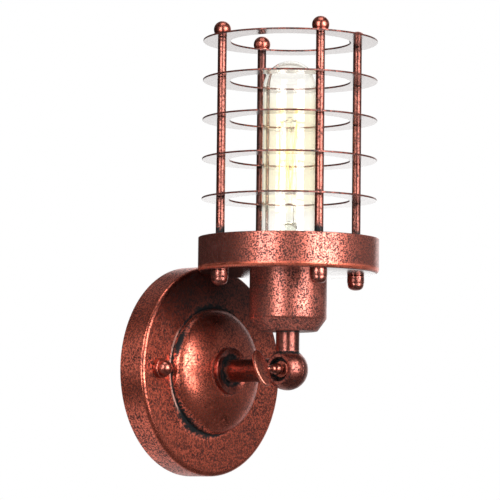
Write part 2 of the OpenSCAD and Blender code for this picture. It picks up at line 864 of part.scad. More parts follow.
// Bend i of the filament, at a height z
function bend_point(i, z) =
    let (a = 360 * i / filament_legs)
    [filament_r * cos(a), filament_r * sin(a), z];

// Fine wire hooks that hold the filament's bends
module filament_hooks() {
    color(zinc) on_head() for (i = [0 : filament_legs - 1]) {
        up = i % 2 == 0;
        inner_r = (up ? mount_bead_d : mount_rod_d) / 2;
        outer_r = filament_r - filament_bend_d / 2;
        translate([0, 0, up ? filament_top : filament_bottom]) rotate([0, 0, 360 * i / filament_legs])
            translate([inner_r, 0, 0]) rotate([0, 90, 0]) cylinder(d = hook_wire_d, h = outer_r - inner_r);
    }
}

// Filament, zigzag round the glass rod
module filament() {
    color("gold") on_head() for (i = [0 : filament_legs - 1]) {
        a = bend_point(i, i % 2 == 0 ? filament_top : filament_bottom);
        b = bend_point(i + 1, i % 2 == 0 ? filament_bottom : filament_top);
        wire(a, b, filament_wire_d);
        translate(a) sphere(d = filament_bend_d, $fn = wire_fn);
    }
}

box_bar();
fixture_bar();
bar_rivet();
canopy_studs();
ground_screw();
canopy();
canopy_knobs();
nipple();
nipple_washer();
nipple_locknut();
wire_bushing();
collar();
arm_tube();
knuckle_arm_half();
arm_lead_upper();
arm_lead_lower();
wire_connectors();
knuckle_stem_half();
stem_washer();
stem_locknut();
head_leads();
thumb_screw();
lamp_cup();
holder_base();
holder_insert();
holder_sleeve();
screw_shell();
centre_contact();
terminal_screws();
holder_ring();
pan();
tie_rods();
bottom_cap_nuts();
top_cap_nuts();
spacers(1);  // spacers_1
spacers(2);  // spacers_2
spacers(3);  // spacers_3
spacers(4);  // spacers_4
spacers(5);  // spacers_5
ring(1);  // ring_1
ring(2);  // ring_2
ring(3);  // ring_3
ring(4);  // ring_4
ring(5);  // ring_5
bulb_glass();
bulb_cap();
bulb_insulator();
bulb_contact();
bulb_mount();
filament_hooks();
filament();
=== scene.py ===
import math
import bmesh
import bpy
from mathutils import Matrix, Vector


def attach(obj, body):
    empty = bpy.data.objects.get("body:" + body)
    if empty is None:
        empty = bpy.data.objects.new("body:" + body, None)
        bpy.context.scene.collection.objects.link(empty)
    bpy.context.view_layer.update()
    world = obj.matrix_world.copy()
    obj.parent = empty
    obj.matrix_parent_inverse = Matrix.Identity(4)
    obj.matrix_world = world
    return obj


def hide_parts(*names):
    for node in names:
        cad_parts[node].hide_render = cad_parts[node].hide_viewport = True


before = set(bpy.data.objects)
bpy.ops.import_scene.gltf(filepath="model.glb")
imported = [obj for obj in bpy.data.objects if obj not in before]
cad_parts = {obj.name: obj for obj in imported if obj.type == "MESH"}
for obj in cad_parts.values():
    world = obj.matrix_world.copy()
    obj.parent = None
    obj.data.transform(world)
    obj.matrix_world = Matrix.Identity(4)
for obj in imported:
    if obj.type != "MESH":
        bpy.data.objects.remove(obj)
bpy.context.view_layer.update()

# The view of the photograph: from the left and a little below, through a long lens.
# The camera was fitted to the outline of the canopy, the pan and the rings.
CAMERA_TURN = math.radians(-50.377)
CAMERA_AWAY = 1.662577
CAMERA_AIM = -0.0719
CAMERA_HEIGHT = -0.069572
CAMERA_PITCH = 0.082
CAMERA_ROLL = 0.011
CAMERA_PAN = 0.013
PHOTO_PIXELS = 500
FOCAL_PIXELS = 2966.044
SENSOR_WIDTH = 36
NEAREST, FARTHEST = 0.05, 50

bpy.ops.object.select_all(action="DESELECT")
bpy.ops.object.camera_add(location=(
    math.sin(CAMERA_TURN) * CAMERA_AWAY, CAMERA_AIM - math.cos(CAMERA_TURN) * CAMERA_AWAY, CAMERA_HEIGHT))
camera = bpy.context.object
camera.name = "photo_camera"
heading = CAMERA_TURN + CAMERA_PAN
level = Vector((-math.sin(heading), math.cos(heading), 0))
ahead = (math.cos(CAMERA_PITCH) * level + math.sin(CAMERA_PITCH) * Vector((0, 0, 1))).normalized()
right = ahead.cross(Vector((0, 0, 1))).normalized()
up = right.cross(ahead)
leaned_right = math.cos(CAMERA_ROLL) * right + math.sin(CAMERA_ROLL) * up
leaned_up = math.cos(CAMERA_ROLL) * up - math.sin(CAMERA_ROLL) * right
camera.rotation_euler = Matrix((leaned_right, leaned_up, -ahead)).transposed().to_euler()
camera.data.sensor_width = SENSOR_WIDTH
camera.data.lens = SENSOR_WIDTH * FOCAL_PIXELS / PHOTO_PIXELS
camera.data.clip_start, camera.data.clip_end = NEAREST, FARTHEST
bpy.context.scene.camera = camera
bpy.context.scene.view_settings.view_transform = "Standard"

# The studio: a room that is white behind the light, as the photograph's backdrop is. Metal
# mirrors the room dark, with soft panels where the photo shows them.
WHITE = (1, 1, 1)
ROOM_LIGHT = 0.55
ROOM_MIRRORED = 0.015
PANEL_FADE = 0.2
# Turn, cosines of the outer and inner edge, lowest and highest rise, and level of each panel.
PANELS = [
    (116, 0.89, 0.97, -0.5, 0.75, 1.5),
    (54, 0.80, 0.97, -0.3, 0.5, 0.26),
    (-122, 0.92, 0.985, -0.6, 0.5, 0.75),
    (175, 0.84, 0.97, 0.5, 0.9, 0.25),
]


class Value:
    """A number on a node's socket, which can be used in sums."""

    def __init__(self, finish, socket):
        self.finish, self.socket = finish, socket

    def maths(self, operation, *rest):
        return self.finish.node("ShaderNodeMath", {"operation": operation}, [self, *rest])

    def __add__(self, other):
        return self.maths("ADD", other)

    def __sub__(self, other):
        return self.maths("SUBTRACT", other)

    def __rsub__(self, other):
        return self.finish.node("ShaderNodeMath", {"operation": "SUBTRACT"}, [other, self])

    def __mul__(self, other):
        return self.maths("MULTIPLY", other)

    def __truediv__(self, other):
        return self.maths("DIVIDE", other)

    def __pow__(self, other):
        return self.maths("POWER", other)

    __radd__, __rmul__ = __add__, __mul__

    def least(self, other):
        return self.maths("MINIMUM", other)

    def most(self, other):
        return self.maths("MAXIMUM", other)

    def size(self):
        return self.maths("ABSOLUTE")

    def step(self, low, high, to_low=0, to_high=1):
        """Runs smoothly from to_low to to_high while the number goes from low to high."""
        return self.finish.node("ShaderNodeMapRange", {"interpolation_type": "SMOOTHSTEP"}, {
            "Value": self, "From Min": low, "From Max": high, "To Min": to_low, "To Max": to_high})


class Finish:
    """The nodes of one material or of the world."""

    def __init__(self, owner):
        self.owner = owner
        owner.use_nodes = True
        self.tree = owner.node_tree
        self.tree.nodes.clear()

    def node(self, kind, settings=None, values=None, out=0):
        """Adds a node, sets it up, fills its sockets and gives back one output."""
        made = self.tree.nodes.new(kind)
        for name, value in (settings or {}).items():
            setattr(made, name, value)
        pairs = enumerate(values) if isinstance(values, list) else (values or {}).items()
        for key, value in pairs:
            socket = made.inputs[key]
            if isinstance(value, Value):
                self.tree.links.new(value.socket, socket)
            elif socket.type == "RGBA" and len(value) == 3:
                socket.default_value = (*value, 1)
            else:
                socket.default_value = value
        return Value(self, made.outputs[out]) if len(made.outputs) else made

    def mix(self, factor, first, second):
        """Mixes two colours."""
        return self.node("ShaderNodeMix", {"data_type": "RGBA"},
                         {0: factor, 6: first, 7: second}, out=2)


def pointing(turn, rise):
    """The direction at that turn from the front of the light, and that rise."""
    a, e = math.radians(turn), math.radians(rise)
    return Vector((math.sin(a) * math.cos(e), -math.cos(a) * math.cos(e), math.sin(e)))


def apart(paint, place, axis):
    """The place along an axis, in millimetres."""
    return paint.node("ShaderNodeSeparateXYZ", None, [place], out=axis) * 1000


world = bpy.data.worlds.new("studio")
bpy.context.scene.world = world
room = Finish(world)
ray = {name: room.node("ShaderNodeLightPath", out=name)
       for name in ("Is Camera Ray", "Is Glossy Ray", "Is Transmission Ray")}
direction = room.node("ShaderNodeTexCoord", out="Generated")
rise = room.node("ShaderNodeSeparateXYZ", None, [direction], out="Z")
flat = (1 - rise * rise).most(0.01) ** 0.5
mirrored = ROOM_MIRRORED
for turn, edge, core, low, high, level in PANELS:
    near = room.node("ShaderNodeVectorMath", {"operation": "DOT_PRODUCT"},
                     [direction, pointing(turn, 0)], out="Value")
    tall = rise.step(low - PANEL_FADE, low + PANEL_FADE) * (
        1 - rise.step(high - PANEL_FADE, high + PANEL_FADE))
    mirrored = (near / flat).step(edge, core, 0, level) * tall + mirrored
clear = ray["Is Camera Ray"].most(ray["Is Transmission Ray"])
strength = clear + (1 - clear) * (
    ray["Is Glossy Ray"] * mirrored + (1 - ray["Is Glossy Ray"]) * ROOM_LIGHT)
room.node("ShaderNodeOutputWorld", None, {"Surface": room.node(
    "ShaderNodeBackground", None, {"Color": WHITE, "Strength": strength})})

# The pale floor. The camera sees it white. Metal mirrors it white behind the light and close
# to it, and dark elsewhere, and from below it isn't there.
FLOOR_Z, FLOOR_HALF = -0.22, 2.5
PALE = (0.82, 0.82, 0.82)
FLOOR_BRIGHT, FLOOR_DARK, FLOOR_FRONT = 0.85, 0.02, 0.12
BEHIND_X, BEHIND_Y, BEHIND_BLUR = 0.85, 0.5, 200
NEAR_SPOT, FAR_SPOT, FRONT_SPOT, BACK_SPOT = 230, 600, -50, 175

bpy.ops.object.select_all(action="DESELECT")
bpy.ops.mesh.primitive_plane_add(size=2 * FLOOR_HALF, location=(0, 0, FLOOR_Z))
floor = bpy.context.object
floor.name = "floor"
pale = Finish(bpy.data.materials.new("pale_floor"))
floor_place = pale.node("ShaderNodeTexCoord", out="Object")
spot_x, spot_y = apart(pale, floor_place, "X"), apart(pale, floor_place, "Y")
spot_off = (spot_x * spot_x + spot_y * spot_y) ** 0.5
behind = ((spot_x * BEHIND_X + spot_y * BEHIND_Y) / (spot_off + BEHIND_BLUR)).step(
    0.35, 0.85, FLOOR_DARK, FLOOR_BRIGHT)
floor_ray = [pale.node("ShaderNodeLightPath", out=name)
             for name in ("Is Camera Ray", "Is Transmission Ray", "Is Glossy Ray")]
plain_white = floor_ray[0].most(floor_ray[1])
near_by = (1 - spot_off.step(NEAR_SPOT, FAR_SPOT)) * spot_y.step(
    FRONT_SPOT, BACK_SPOT, FLOOR_FRONT, FLOOR_BRIGHT)
glow = plain_white + floor_ray[2] * (1 - plain_white) * behind.most(near_by)
floor_top = pale.node("ShaderNodeMixShader", None, [
    plain_white.most(floor_ray[2]),
    pale.node("ShaderNodeBsdfDiffuse", None, {"Color": PALE}),
    pale.node("ShaderNodeEmission", None, {"Color": WHITE, "Strength": glow})])
from_below = pale.node("ShaderNodeNewGeometry", out="Backfacing")
pale.node("ShaderNodeOutputMaterial", None, {"Surface": pale.node("ShaderNodeMixShader", None, [
    from_below, floor_top, pale.node("ShaderNodeBsdfTransparent")])})
floor.data.materials.append(pale.owner)

# A black card stands left of the cage, as photographers put one up. Only the metal mirrors it,
# so the cage, the pan and the cup darken towards that side.
CARD_SIZE, CARD_LEVEL = 0.26, 0.02
CARD_MIDDLE = (-0.185, -0.012, 0.165)

bpy.ops.object.select_all(action="DESELECT")
bpy.ops.mesh.primitive_plane_add(size=CARD_SIZE, location=CARD_MIDDLE, rotation=(math.radians(90), 0, 0))
card = bpy.context.object
card.name = "black_card"
card.visible_camera = card.visible_diffuse = False
card.visible_transmission = card.visible_shadow = False
felt = Finish(bpy.data.materials.new("black_felt"))
felt.node("ShaderNodeOutputMaterial", None, {"Surface": felt.node("ShaderNodeEmission", None, {
    "Color": WHITE, "Strength": CARD_LEVEL})})
card.data.materials.append(felt.owner)

# Tall softboxes stand left and right of the camera, and a wide one hangs overhead. The two
# tall ones draw the bright bands down the rods, the pan and the cup.
AIM = Vector((0, -0.07, 0.06))
# Name, turn and lift in degrees, distance, width, height and watts of each box.
SOFTBOXES = [
    ("left_softbox", -78, 8, 1.3, 0.52, 1.2, 15.7),
    ("right_softbox", -5, 8, 1.3, 0.92, 1.2, 31),
    ("top_softbox", -40, 76, 1.3, 0.8, 0.8, 5),
]
for name, turn, lift, away, width, tall, watts in SOFTBOXES:
    out_to = pointing(turn, lift)
    bpy.ops.object.select_all(action="DESELECT")
    bpy.ops.object.light_add(type="AREA", location=AIM + away * out_to)
    lamp = bpy.context.object
    lamp.name = name
    lamp.rotation_euler = out_to.to_track_quat("Z", "Y").to_euler()
    lamp.data.shape = "RECTANGLE"
    lamp.data.size, lamp.data.size_y = width, tall
    lamp.data.energy = watts

# Behind the canopy an upright bar is screwed to the wall box, with a level bar riveted across
# it that carries two studs for the canopy. All are zinc plated steel, and a green screw takes
# the earth wire.
BUMP = 0.0002


def plain(name, colour, metallic=0.0, gloss=0.4, mottle=0.12, scale=900, bumps=0.04, **more):
    """A plain moulded, plated or fired finish with a little mottling and fine bumps."""
    finish = Finish(bpy.data.materials.new(name))
    place = finish.node("ShaderNodeTexCoord", out="Object")
    spots = finish.node("ShaderNodeTexNoise", None, {"Vector": place, "Scale": scale, "Detail": 3}, out="Fac")
    shade = [c * (1 - mottle) for c in colour]
    bump = finish.node("ShaderNodeBump", None, {
        "Strength": bumps, "Distance": BUMP, "Height": spots}, out="Normal")
    shader = finish.node("ShaderNodeBsdfPrincipled", None, {
        "Base Color": finish.mix(spots.step(0.35, 0.65), colour, shade), "Metallic": metallic,
        "Roughness": spots.step(0.3, 0.7, gloss - 0.04, gloss + 0.06), "Normal": bump, **more})
    finish.node("ShaderNodeOutputMaterial", None, {"Surface": shader})
    return finish.owner


def kept(finish, *names):
    """Gives a finish to pieces that keep their CAD shape."""
    for name in names:
        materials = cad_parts[name].data.materials
        materials.clear()
        materials.append(finish)


zinc = plain("zinc_steel", (0.60, 0.61, 0.63), 0.6, 0.38, mottle=0.35, scale=300, bumps=0.08)
kept(zinc, "box_bar", "fixture_bar", "bar_rivet", "canopy_studs")
kept(plain("earth_green", (0.05, 0.30, 0.10), 0.4, 0.35), "ground_screw")

# The canopy is a round cover pressed from steel sheet, with a raised boss in the middle.
# It is painted copper, with painted shade darkening its front towards the top, black patina round the boss,
# and a painted shadow of the left knob.
MM = 0.001
WALL = (Vector((0, 0, 0)), Vector((0, -1, 0)))
CANOPY_R, CANOPY_DEPTH, CANOPY_SHEET, CANOPY_EDGE = 60, 17, 1.2, 2.5
BOSS_R, BOSS_H, BOSS_POWER, SEAT_R, NIPPLE_HOLE = 36, 12, 2.5, 13.4, 5.1
BOSS_STEPS = 32
SOFT_CORNER = 34
CLOUDS, PATCHES, GRAIN, FINE = 70, 380, 1000, 1700
SPECK_AT, SPECK_REACH, SPECK_EDGE = 0.66, 0.10, 0.05
RUBBED_BLACK_AND_SHADE = (0.006, 0.0075, 0.008)
PAINTED_UNDERSIDE_SHEEN = (0.34, 0.29, 0.27)
PAINTED_SHADE_DEPTH = 0.35


def arc(cx, cy, r, start, end, steps=8):
    """Points along an arc, in millimetres."""
    angles = [math.radians(start + (end - start) * i / steps) for i in range(steps + 1)]
    return [(cx + r * math.cos(a), cy + r * math.sin(a)) for a in angles]


def turned(name, outline, line, steps=96, closed=False):
    """A spun or lathe-turned piece: its outline, as radius and height in mm, goes round a line."""
    foot, along = line
    side = Vector((1, 0, 0)) if abs(along.x) < 0.5 else Vector((0, 0, 1))
    places = [foot + (r * side + h * along) * MM for r, h in outline]
    if closed:
        places.append(places[0])
    bpy.ops.object.select_all(action="DESELECT")
    bpy.ops.mesh.primitive_plane_add(size=MM, location=places[0])
    piece = bpy.context.object
    piece.name = name
    bpy.ops.object.mode_set(mode="EDIT")
    bpy.ops.mesh.merge(type="CENTER")
    for here, there in zip(places, places[1:]):
        bpy.ops.mesh.extrude_region_move(TRANSFORM_OT_translate={"value": there - here})
    bpy.ops.mesh.select_all(action="SELECT")
    bpy.ops.mesh.spin(steps=steps, angle=2 * math.pi, center=foot, axis=along)
    bpy.ops.mesh.select_all(action="SELECT")
    bpy.ops.mesh.remove_doubles(threshold=2e-6)
    bpy.ops.mesh.normals_make_consistent(inside=False)
    bpy.ops.object.mode_set(mode="OBJECT")
    bpy.ops.object.transform_apply(location=True, rotation=True, scale=True)
    bpy.ops.object.shade_smooth_by_angle(angle=math.radians(SOFT_CORNER))
    return piece


def fitted(piece, finish, slot, body, *nodes):
    """Gives a piece its finish, its body and the CAD nodes that it stands for."""
    piece.data.materials.clear()
    piece.data.materials.append(finish)
    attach(piece, body)
    if nodes:
        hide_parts(*nodes)
    return piece


def antique_copper(name, bright, deep, specks=0.5, creases=None, gloss=0.40, grain_size=1.2,
                   worn=None, bare_and_highlight_colour=(0.85, 0.70, 0.64), painted_shade=None, under=None, calm=None,
                   pepper=1.0):
    """Copper paint rubbed with black: fine specks, darker clouds, and black in the creases.

    The masks give where the paint is creased, with black that is partly painted shade; worn bare,
    partly as a painted highlight; darkened by painted shade; smooth and painted a paler sheen, as on
    an underside; or calm, which means less speckled.
    """
    paint = Finish(bpy.data.materials.new(name))
    place = paint.node("ShaderNodeTexCoord", out="Object")
    clouds, patches, grain, fine = (paint.node("ShaderNodeTexNoise", None, {
        "Vector": place, "Scale": scale, "Detail": detail, "Roughness": 0.6}, out="Fac")
        for scale, detail in ((CLOUDS, 3), (PATCHES, 2), (GRAIN / grain_size, 2), (FINE / grain_size, 1)))
    cloudy = clouds.step(0.35, 0.65)
    speck = SPECK_AT - SPECK_REACH * specks
    black = (grain + cloudy * 0.03).step(speck, speck + SPECK_EDGE) * pepper
    dull = (fine * 0.4 + grain * 0.6).step(0.42, 0.57)
    if calm:
        still = calm(paint, place)
        black, dull = black * (1 - still * 0.3), dull + (0.55 - dull) * still * 0.25
        gloss = still * -0.07 + gloss
    # Creases take black patina, and some crease masks also paint shade and shadows in black.
    if creases:
        crease = creases(paint, place)
        ragged = crease + ((grain - 0.5) * 3.5 + (patches - 0.5) * 3) * crease.least(0.4)
        black = black.most(ragged.step(0.05, 1.0))
    base = paint.mix(cloudy * 0.2 + dull * 0.8, bright, deep)
    # Painted shade: the base darkens towards the deep colour where the mask asks.
    if painted_shade:
        base = paint.mix(painted_shade(paint, place), base, [c * PAINTED_SHADE_DEPTH for c in deep])
    colour = paint.mix(black, base, RUBBED_BLACK_AND_SHADE)
    metal = 1 - black
    # Bare paint, which on some pieces is also a painted highlight.
    if worn:
        bare = worn(paint, place) * (1 - grain.step(0.55, 0.65))
        colour = paint.mix(bare, colour, bare_and_highlight_colour)
        metal = metal.most(bare)
    bump = paint.node("ShaderNodeBump", None, {
        "Strength": 0.15, "Distance": BUMP, "Height": grain * 0.7 + fine * 0.3}, out="Normal")
    rough, lacquer = gloss + black * 0.15 + cloudy * 0.08, 0.38 - black * 0.33
    # Undersides are smoother, and painted a paler grey as a painted sheen.
    if under:
        smooth = under(paint, place)
        colour = paint.mix(smooth * 0.8, colour, PAINTED_UNDERSIDE_SHEEN)
        metal = metal.most(smooth)
        rough, lacquer = rough * (1 - smooth * 0.55), lacquer.most(smooth * 0.8)
    shader = paint.node("ShaderNodeBsdfPrincipled", None, {
        "Base Color": colour, "Metallic": metal, "Roughness": rough, "Normal": bump,
        "Specular IOR Level": 0.12, "Coat Weight": lacquer, "Coat Roughness": 0.18 if under else 0.3})
    paint.node("ShaderNodeOutputMaterial", None, {"Surface": shader})
    return paint.owner


def from_line(paint, place, line):
    """Distance from a line along Y or Z through the light, in millimetres."""
    foot, along = line
    first = apart(paint, place, "X") - foot.x * 1000
    second = (apart(paint, place, "Y") - foot.y * 1000) if abs(along.z) > 0.5 else (
        apart(paint, place, "Z") - foot.z * 1000)
    return (first * first + second * second) ** 0.5


def boss_rise(r, foot_r):
    """Height of the boss above the canopy's face at a distance from its middle."""
    return BOSS_H * (1 - (r / foot_r) ** BOSS_POWER) ** (1 / BOSS_POWER)


def canopy_outline(inset):
    """The canopy's outline, or that of its inside, from the wall to the hole in the boss."""
    rim, face = CANOPY_R - inset, CANOPY_DEPTH - inset
    edge, foot_r = CANOPY_EDGE - inset, BOSS_R - inset
    points = [(rim, 0)] + arc(rim - edge, face - edge, edge, 0, 90)
    for i in range(BOSS_STEPS + 1):
        r = SEAT_R + (foot_r - SEAT_R) * math.cos(math.radians(90 * i / BOSS_STEPS))
        points.append((r, face + boss_rise(min(r, foot_r), foot_r)))
    return points + [(NIPPLE_HOLE, face + boss_rise(SEAT_R, foot_r))]


canopy = turned("canopy", canopy_outline(0) + canopy_outline(CANOPY_SHEET)[::-1], WALL,
                steps=160, closed=True)

PATINA_R, PATINA_REACH, PATINA_LOW, PATINA_TOP, KNOB_SHADOW_TURN = 36.4, 0.6, 238, 96, 176
STREAK_TURN, STREAK_R, STREAK_H, STREAK_W, WELL_LINE_R = 154, 34, 2.4, 3, 13.8
WEAR_R, SHADE_TO, SHADE = 37.4, 46, 0.85


def toward(paint, place, turn):
    """1 on the side of the canopy at that angle, counted from its right round by the top."""
    a = math.radians(turn)
    return (apart(paint, place, "X") * math.cos(a) + apart(paint, place, "Z") * math.sin(a)) / (
        from_line(paint, place, WALL) + 0.1)


def boss_foot(paint, place):
    """Black patina round the boss: broad low on the left and along the top, and a streak, with a painted
    shadow of the left knob.
    """
    r, h = from_line(paint, place, WALL), apart(paint, place, "Y") * -1 - CANOPY_DEPTH
    off = ((r - PATINA_R) * (r - PATINA_R) + h * h) ** 0.5
    low, top, left, streaked = (
        toward(paint, place, turn).most(0) for turn in (PATINA_LOW, PATINA_TOP, KNOB_SHADOW_TURN, STREAK_TURN))
    # The term that reaches far to the left paints the knob's shadow on the plate.
    reach = PATINA_REACH + low ** 6 * 7.5 + top ** 8 * 5.5 + left ** 60 * 3.4
    band = (1 - off / reach).most(0) * 1.25
    level_with = 1 - ((h - STREAK_H).size() / STREAK_W).least(1)
    streak = level_with * streaked ** 30 * 2 * r.step(STREAK_R - 0.4, STREAK_R + 0.4)
    collar_edge = (1 - ((r - WELL_LINE_R).size() / 1.5).least(1)) * h.step(8, 9)
    return band.most(streak).most(collar_edge * 0.8)


def boss_wear_and_highlight(paint, place):
    """The paint is worn along the left foot of the boss, and the pale bare line there is also a painted
    highlight.
    """
    at_foot = 1 - (from_line(paint, place, WALL) - WEAR_R).size().step(0.25, 0.8)
    return at_foot * (toward(paint, place, 180).most(0) ** 5).step(0.2, 0.6)


def shaded_top(paint, place):
    """Painted shade: the canopy is darker towards the top of its face, as under the pan's shadow."""
    face = (apart(paint, place, "Y") * -1).step(CANOPY_DEPTH - 1.5, CANOPY_DEPTH - 0.2)
    return apart(paint, place, "Z").step(0, SHADE_TO, 0, SHADE) * face


def boss_face(paint, place):
    """The boss is smoother than the plate round it, and so is the plate's front edge."""
    r, out = from_line(paint, place, WALL), apart(paint, place, "Y") * -1
    front_edge = r.step(CANOPY_R - 3.2, CANOPY_R - 2.4) * out.step(CANOPY_DEPTH - 3, CANOPY_DEPTH - 2)
    return (1 - r.step(BOSS_R - 5, BOSS_R + 0.5)).most(front_edge)


canopy_copper = antique_copper(
    "canopy_copper", bright=(1.0, 0.215, 0.13), deep=(0.06, 0.007, 0.003), specks=1.0, pepper=0.72,
    gloss=0.33, grain_size=1.1, creases=boss_foot, worn=boss_wear_and_highlight, bare_and_highlight_colour=(0.92, 0.52, 0.42),
    painted_shade=shaded_top, calm=boss_face)
fitted(canopy, canopy_copper, "canopy_copper", "wall_base", "canopy")

# Two round knob nuts screw on the studs and hold the canopy against its bracket.
# They are turned from brass rod, with a domed head on a short foot, and plated copper.
KNOB_R, KNOB_FOOT, KNOB_DOME_R, KNOB_H, KNOB_X = 5.4, 3.2, 4.5, 8.7, 46.5
STUD_HOLE, STUD_REACH = 2.1, 6.2


def domed_nut(foot_r, foot_h, dome_r, h, bore, depth, base):
    """Outline of a blind nut with a domed head, from its bore out and up to its tip."""
    waist = math.degrees(math.asin(max(-1, min(1, (foot_h - (h - dome_r)) / dome_r))))
    return ([(0, base + depth), (bore, base + depth), (bore, base), (foot_r - 0.3, base)]
            + [(foot_r, base + 0.3)] + arc(foot_r - 0.5, base + foot_h - 0.5, 0.5, 0, 90, 4)
            + arc(0, base + h - dome_r, dome_r, waist, 90, 12))


knobs = []
for side in (-1, 1):
    knobs.append(turned("canopy_knobs" if side < 0 else "right_knob", domed_nut(
        KNOB_R, KNOB_FOOT, KNOB_DOME_R, KNOB_H, STUD_HOLE, STUD_REACH, CANOPY_DEPTH),
        (Vector((side * KNOB_X * MM, 0, 0)), WALL[1]), steps=48))


def joined(pieces):
    """Joins pieces of one kind into the first of them."""
    bpy.ops.object.select_all(action="DESELECT")
    for piece in pieces:
        piece.select_set(True)
    bpy.context.view_layer.objects.active = pieces[0]
    bpy.ops.object.join()
    return pieces[0]


turned_copper = antique_copper(
    "turned_copper", bright=(0.62, 0.175, 0.12), deep=(0.28, 0.06, 0.04), specks=0.1, gloss=0.28)
fitted(joined(knobs), turned_copper, "antique_copper", "wall_base", "canopy_knobs")

# A threaded tube, zinc plated, clamps the collar and the arm on the canopy with a washer and a
# locknut. The two wires leave it through a moulded bush and end in twist-on connectors.
phenolic = plain("black_phenolic", (0.022, 0.020, 0.019), gloss=0.32)
black_pvc = plain("black_pvc", (0.02, 0.02, 0.02), 0.0, 0.42)
kept(zinc, "nipple", "nipple_washer", "nipple_locknut")
kept(phenolic, "wire_bushing")
kept(black_pvc, "arm_lead_upper")
kept(plain("white_pvc", (0.80, 0.79, 0.76), 0.0, 0.42), "arm_lead_lower")
kept(plain("orange_nylon", (0.80, 0.22, 0.02), 0.0, 0.45), "wire_connectors")

# The dished collar sits on the boss at the foot of the arm. It is turned, with a thin bright
# rim, and black patina stays in its well.
SEAT_OUT, COLLAR_R, COLLAR_H, COLLAR_FLOOR, WELL_R = 28.5835, 13.4, 3, 1.2, 9
collar_top, well_floor = SEAT_OUT + COLLAR_H, SEAT_OUT + COLLAR_FLOOR
collar = turned("collar", [(NIPPLE_HOLE, SEAT_OUT), (COLLAR_R - 0.4, SEAT_OUT), (COLLAR_R, SEAT_OUT + 0.4)]
                + arc(COLLAR_R - 0.35, collar_top - 0.35, 0.35, 0, 90, 5)
                + [(COLLAR_R - 0.9, collar_top - 0.15), (WELL_R + 0.6, well_floor + 0.8),
                   (WELL_R, well_floor + 0.35), (WELL_R - 0.5, well_floor), (NIPPLE_HOLE, well_floor)],
                WALL, closed=True)


def collar_well(paint, place):
    """Black in the collar's well."""
    return 1 - from_line(paint, place, WALL).step(WELL_R - 0.2, WELL_R + 2.2)


collar_copper = antique_copper(
    "collar_copper", bright=(0.46, 0.10, 0.065), deep=(0.12, 0.022, 0.015), specks=0.35, gloss=0.32,
    creases=collar_well)
fitted(collar, collar_copper, "antique_copper", "wall_base", "collar")

# The arm is a short tube over the nipple, between the collar and the knuckle.
# Its copper is dull, and black where it meets the collar.
ARM_R, ARM_TO = 6.5, 54.95
arm = turned("arm_tube", [(NIPPLE_HOLE, well_floor), (ARM_R, well_floor), (ARM_R, ARM_TO),
                          (NIPPLE_HOLE, ARM_TO)], WALL, steps=64, closed=True)


def arm_foot(paint, place):
    """Black at the foot of the arm."""
    return 1 - (apart(paint, place, "Y") * -1).step(well_floor + 0.5, well_floor + 5)


arm_copper = antique_copper(
    "arm_copper", bright=(0.30, 0.07, 0.042), deep=(0.10, 0.018, 0.012), specks=0.4, gloss=0.32,
    creases=arm_foot)
fitted(arm, arm_copper, "antique_copper", "wall_base", "arm_tube")

# The knuckle is a ball in two halves that turn on each other, each on its own neck. The near
# half is on the arm and has a recess for the thumb screw, the far half carries the cup.
KNUCKLE_OUT = 72
KNUCKLE = Vector((0, -KNUCKLE_OUT * MM, 0))
BALL_R, BALL_HALF, FACE_R, RECESS_R, RECESS_FLOOR, SCREW_HOLE = 11.65, 8, 8.47, 6.8, 4.5, 2.8
NECK_FROM, NECK_TO, STUB_TO, NIPPLE_R, WIRE_R = 9.2, 17.05, 25.05, 5, 3.8
HOLLOW_R, HOLLOW_DEPTH, ROOM_ROUND, ROOM_PAST = 8.15, 3, 0.3, 0.05
STEM_R, STEM_TO, CUP_Z = 6.65, 29.49, 21.5
UPWARD, INWARD = Vector((0, 0, 1)), Vector((0, 1, 0))


def spherical(start_h, end_h, steps=12):
    """Points down the ball's side between two distances from its middle."""
    start, end = math.asin(start_h / BALL_R), math.asin(end_h / BALL_R)
    turns = [start + (end - start) * i / steps for i in range(steps + 1)]
    return [(BALL_R * math.cos(a), BALL_R * math.sin(a)) for a in turns]


def cut(piece, cutter):
    """Cuts a shape out of a piece."""
    tool = piece.modifiers.new("cut", "BOOLEAN")
    tool.object, tool.operation, tool.solver = cutter, "DIFFERENCE", "EXACT"
    bpy.ops.object.select_all(action="DESELECT")
    piece.select_set(True)
    bpy.context.view_layer.objects.active = piece
    bpy.ops.object.modifier_apply(modifier=tool.name)
    bpy.data.objects.remove(cutter)
    bpy.ops.object.shade_smooth_by_angle(angle=math.radians(SOFT_CORNER))
    return piece


def neck(name, r, bore, start, end, along):
    """A tube that leaves the middle of the ball."""
    outline = [(bore, start), (r, start), (r, end), (bore, end)]
    return turned(name, outline, (KNUCKLE, along), steps=64, closed=True)


def clearance(line):
    """Half a ball, larger than the knuckle, that clears the way of the half that turns there."""
    r = BALL_R + ROOM_ROUND
    return turned("clearance", [(0, -ROOM_PAST), (r, -ROOM_PAST)] + arc(0, 0, r, 5, 90, 17),
                  line, steps=90)


near_line, far_line = (KNUCKLE, Vector((-1, 0, 0))), (KNUCKLE, Vector((1, 0, 0)))
near_half = turned("knuckle_arm_half", [(BALL_R - 0.2, 0)] + spherical(0.25, BALL_HALF - 0.25)
                   + [(FACE_R - 0.1, BALL_HALF), (RECESS_R + 0.15, BALL_HALF), (RECESS_R, BALL_HALF - 0.15),
                      (RECESS_R, RECESS_FLOOR), (SCREW_HOLE, RECESS_FLOOR), (SCREW_HOLE, HOLLOW_DEPTH),
                      (HOLLOW_R, HOLLOW_DEPTH), (HOLLOW_R, 0)], near_line, closed=True)
arm_neck = cut(neck("arm_neck", ARM_R, WIRE_R, NECK_FROM, NECK_TO, INWARD), clearance(far_line))


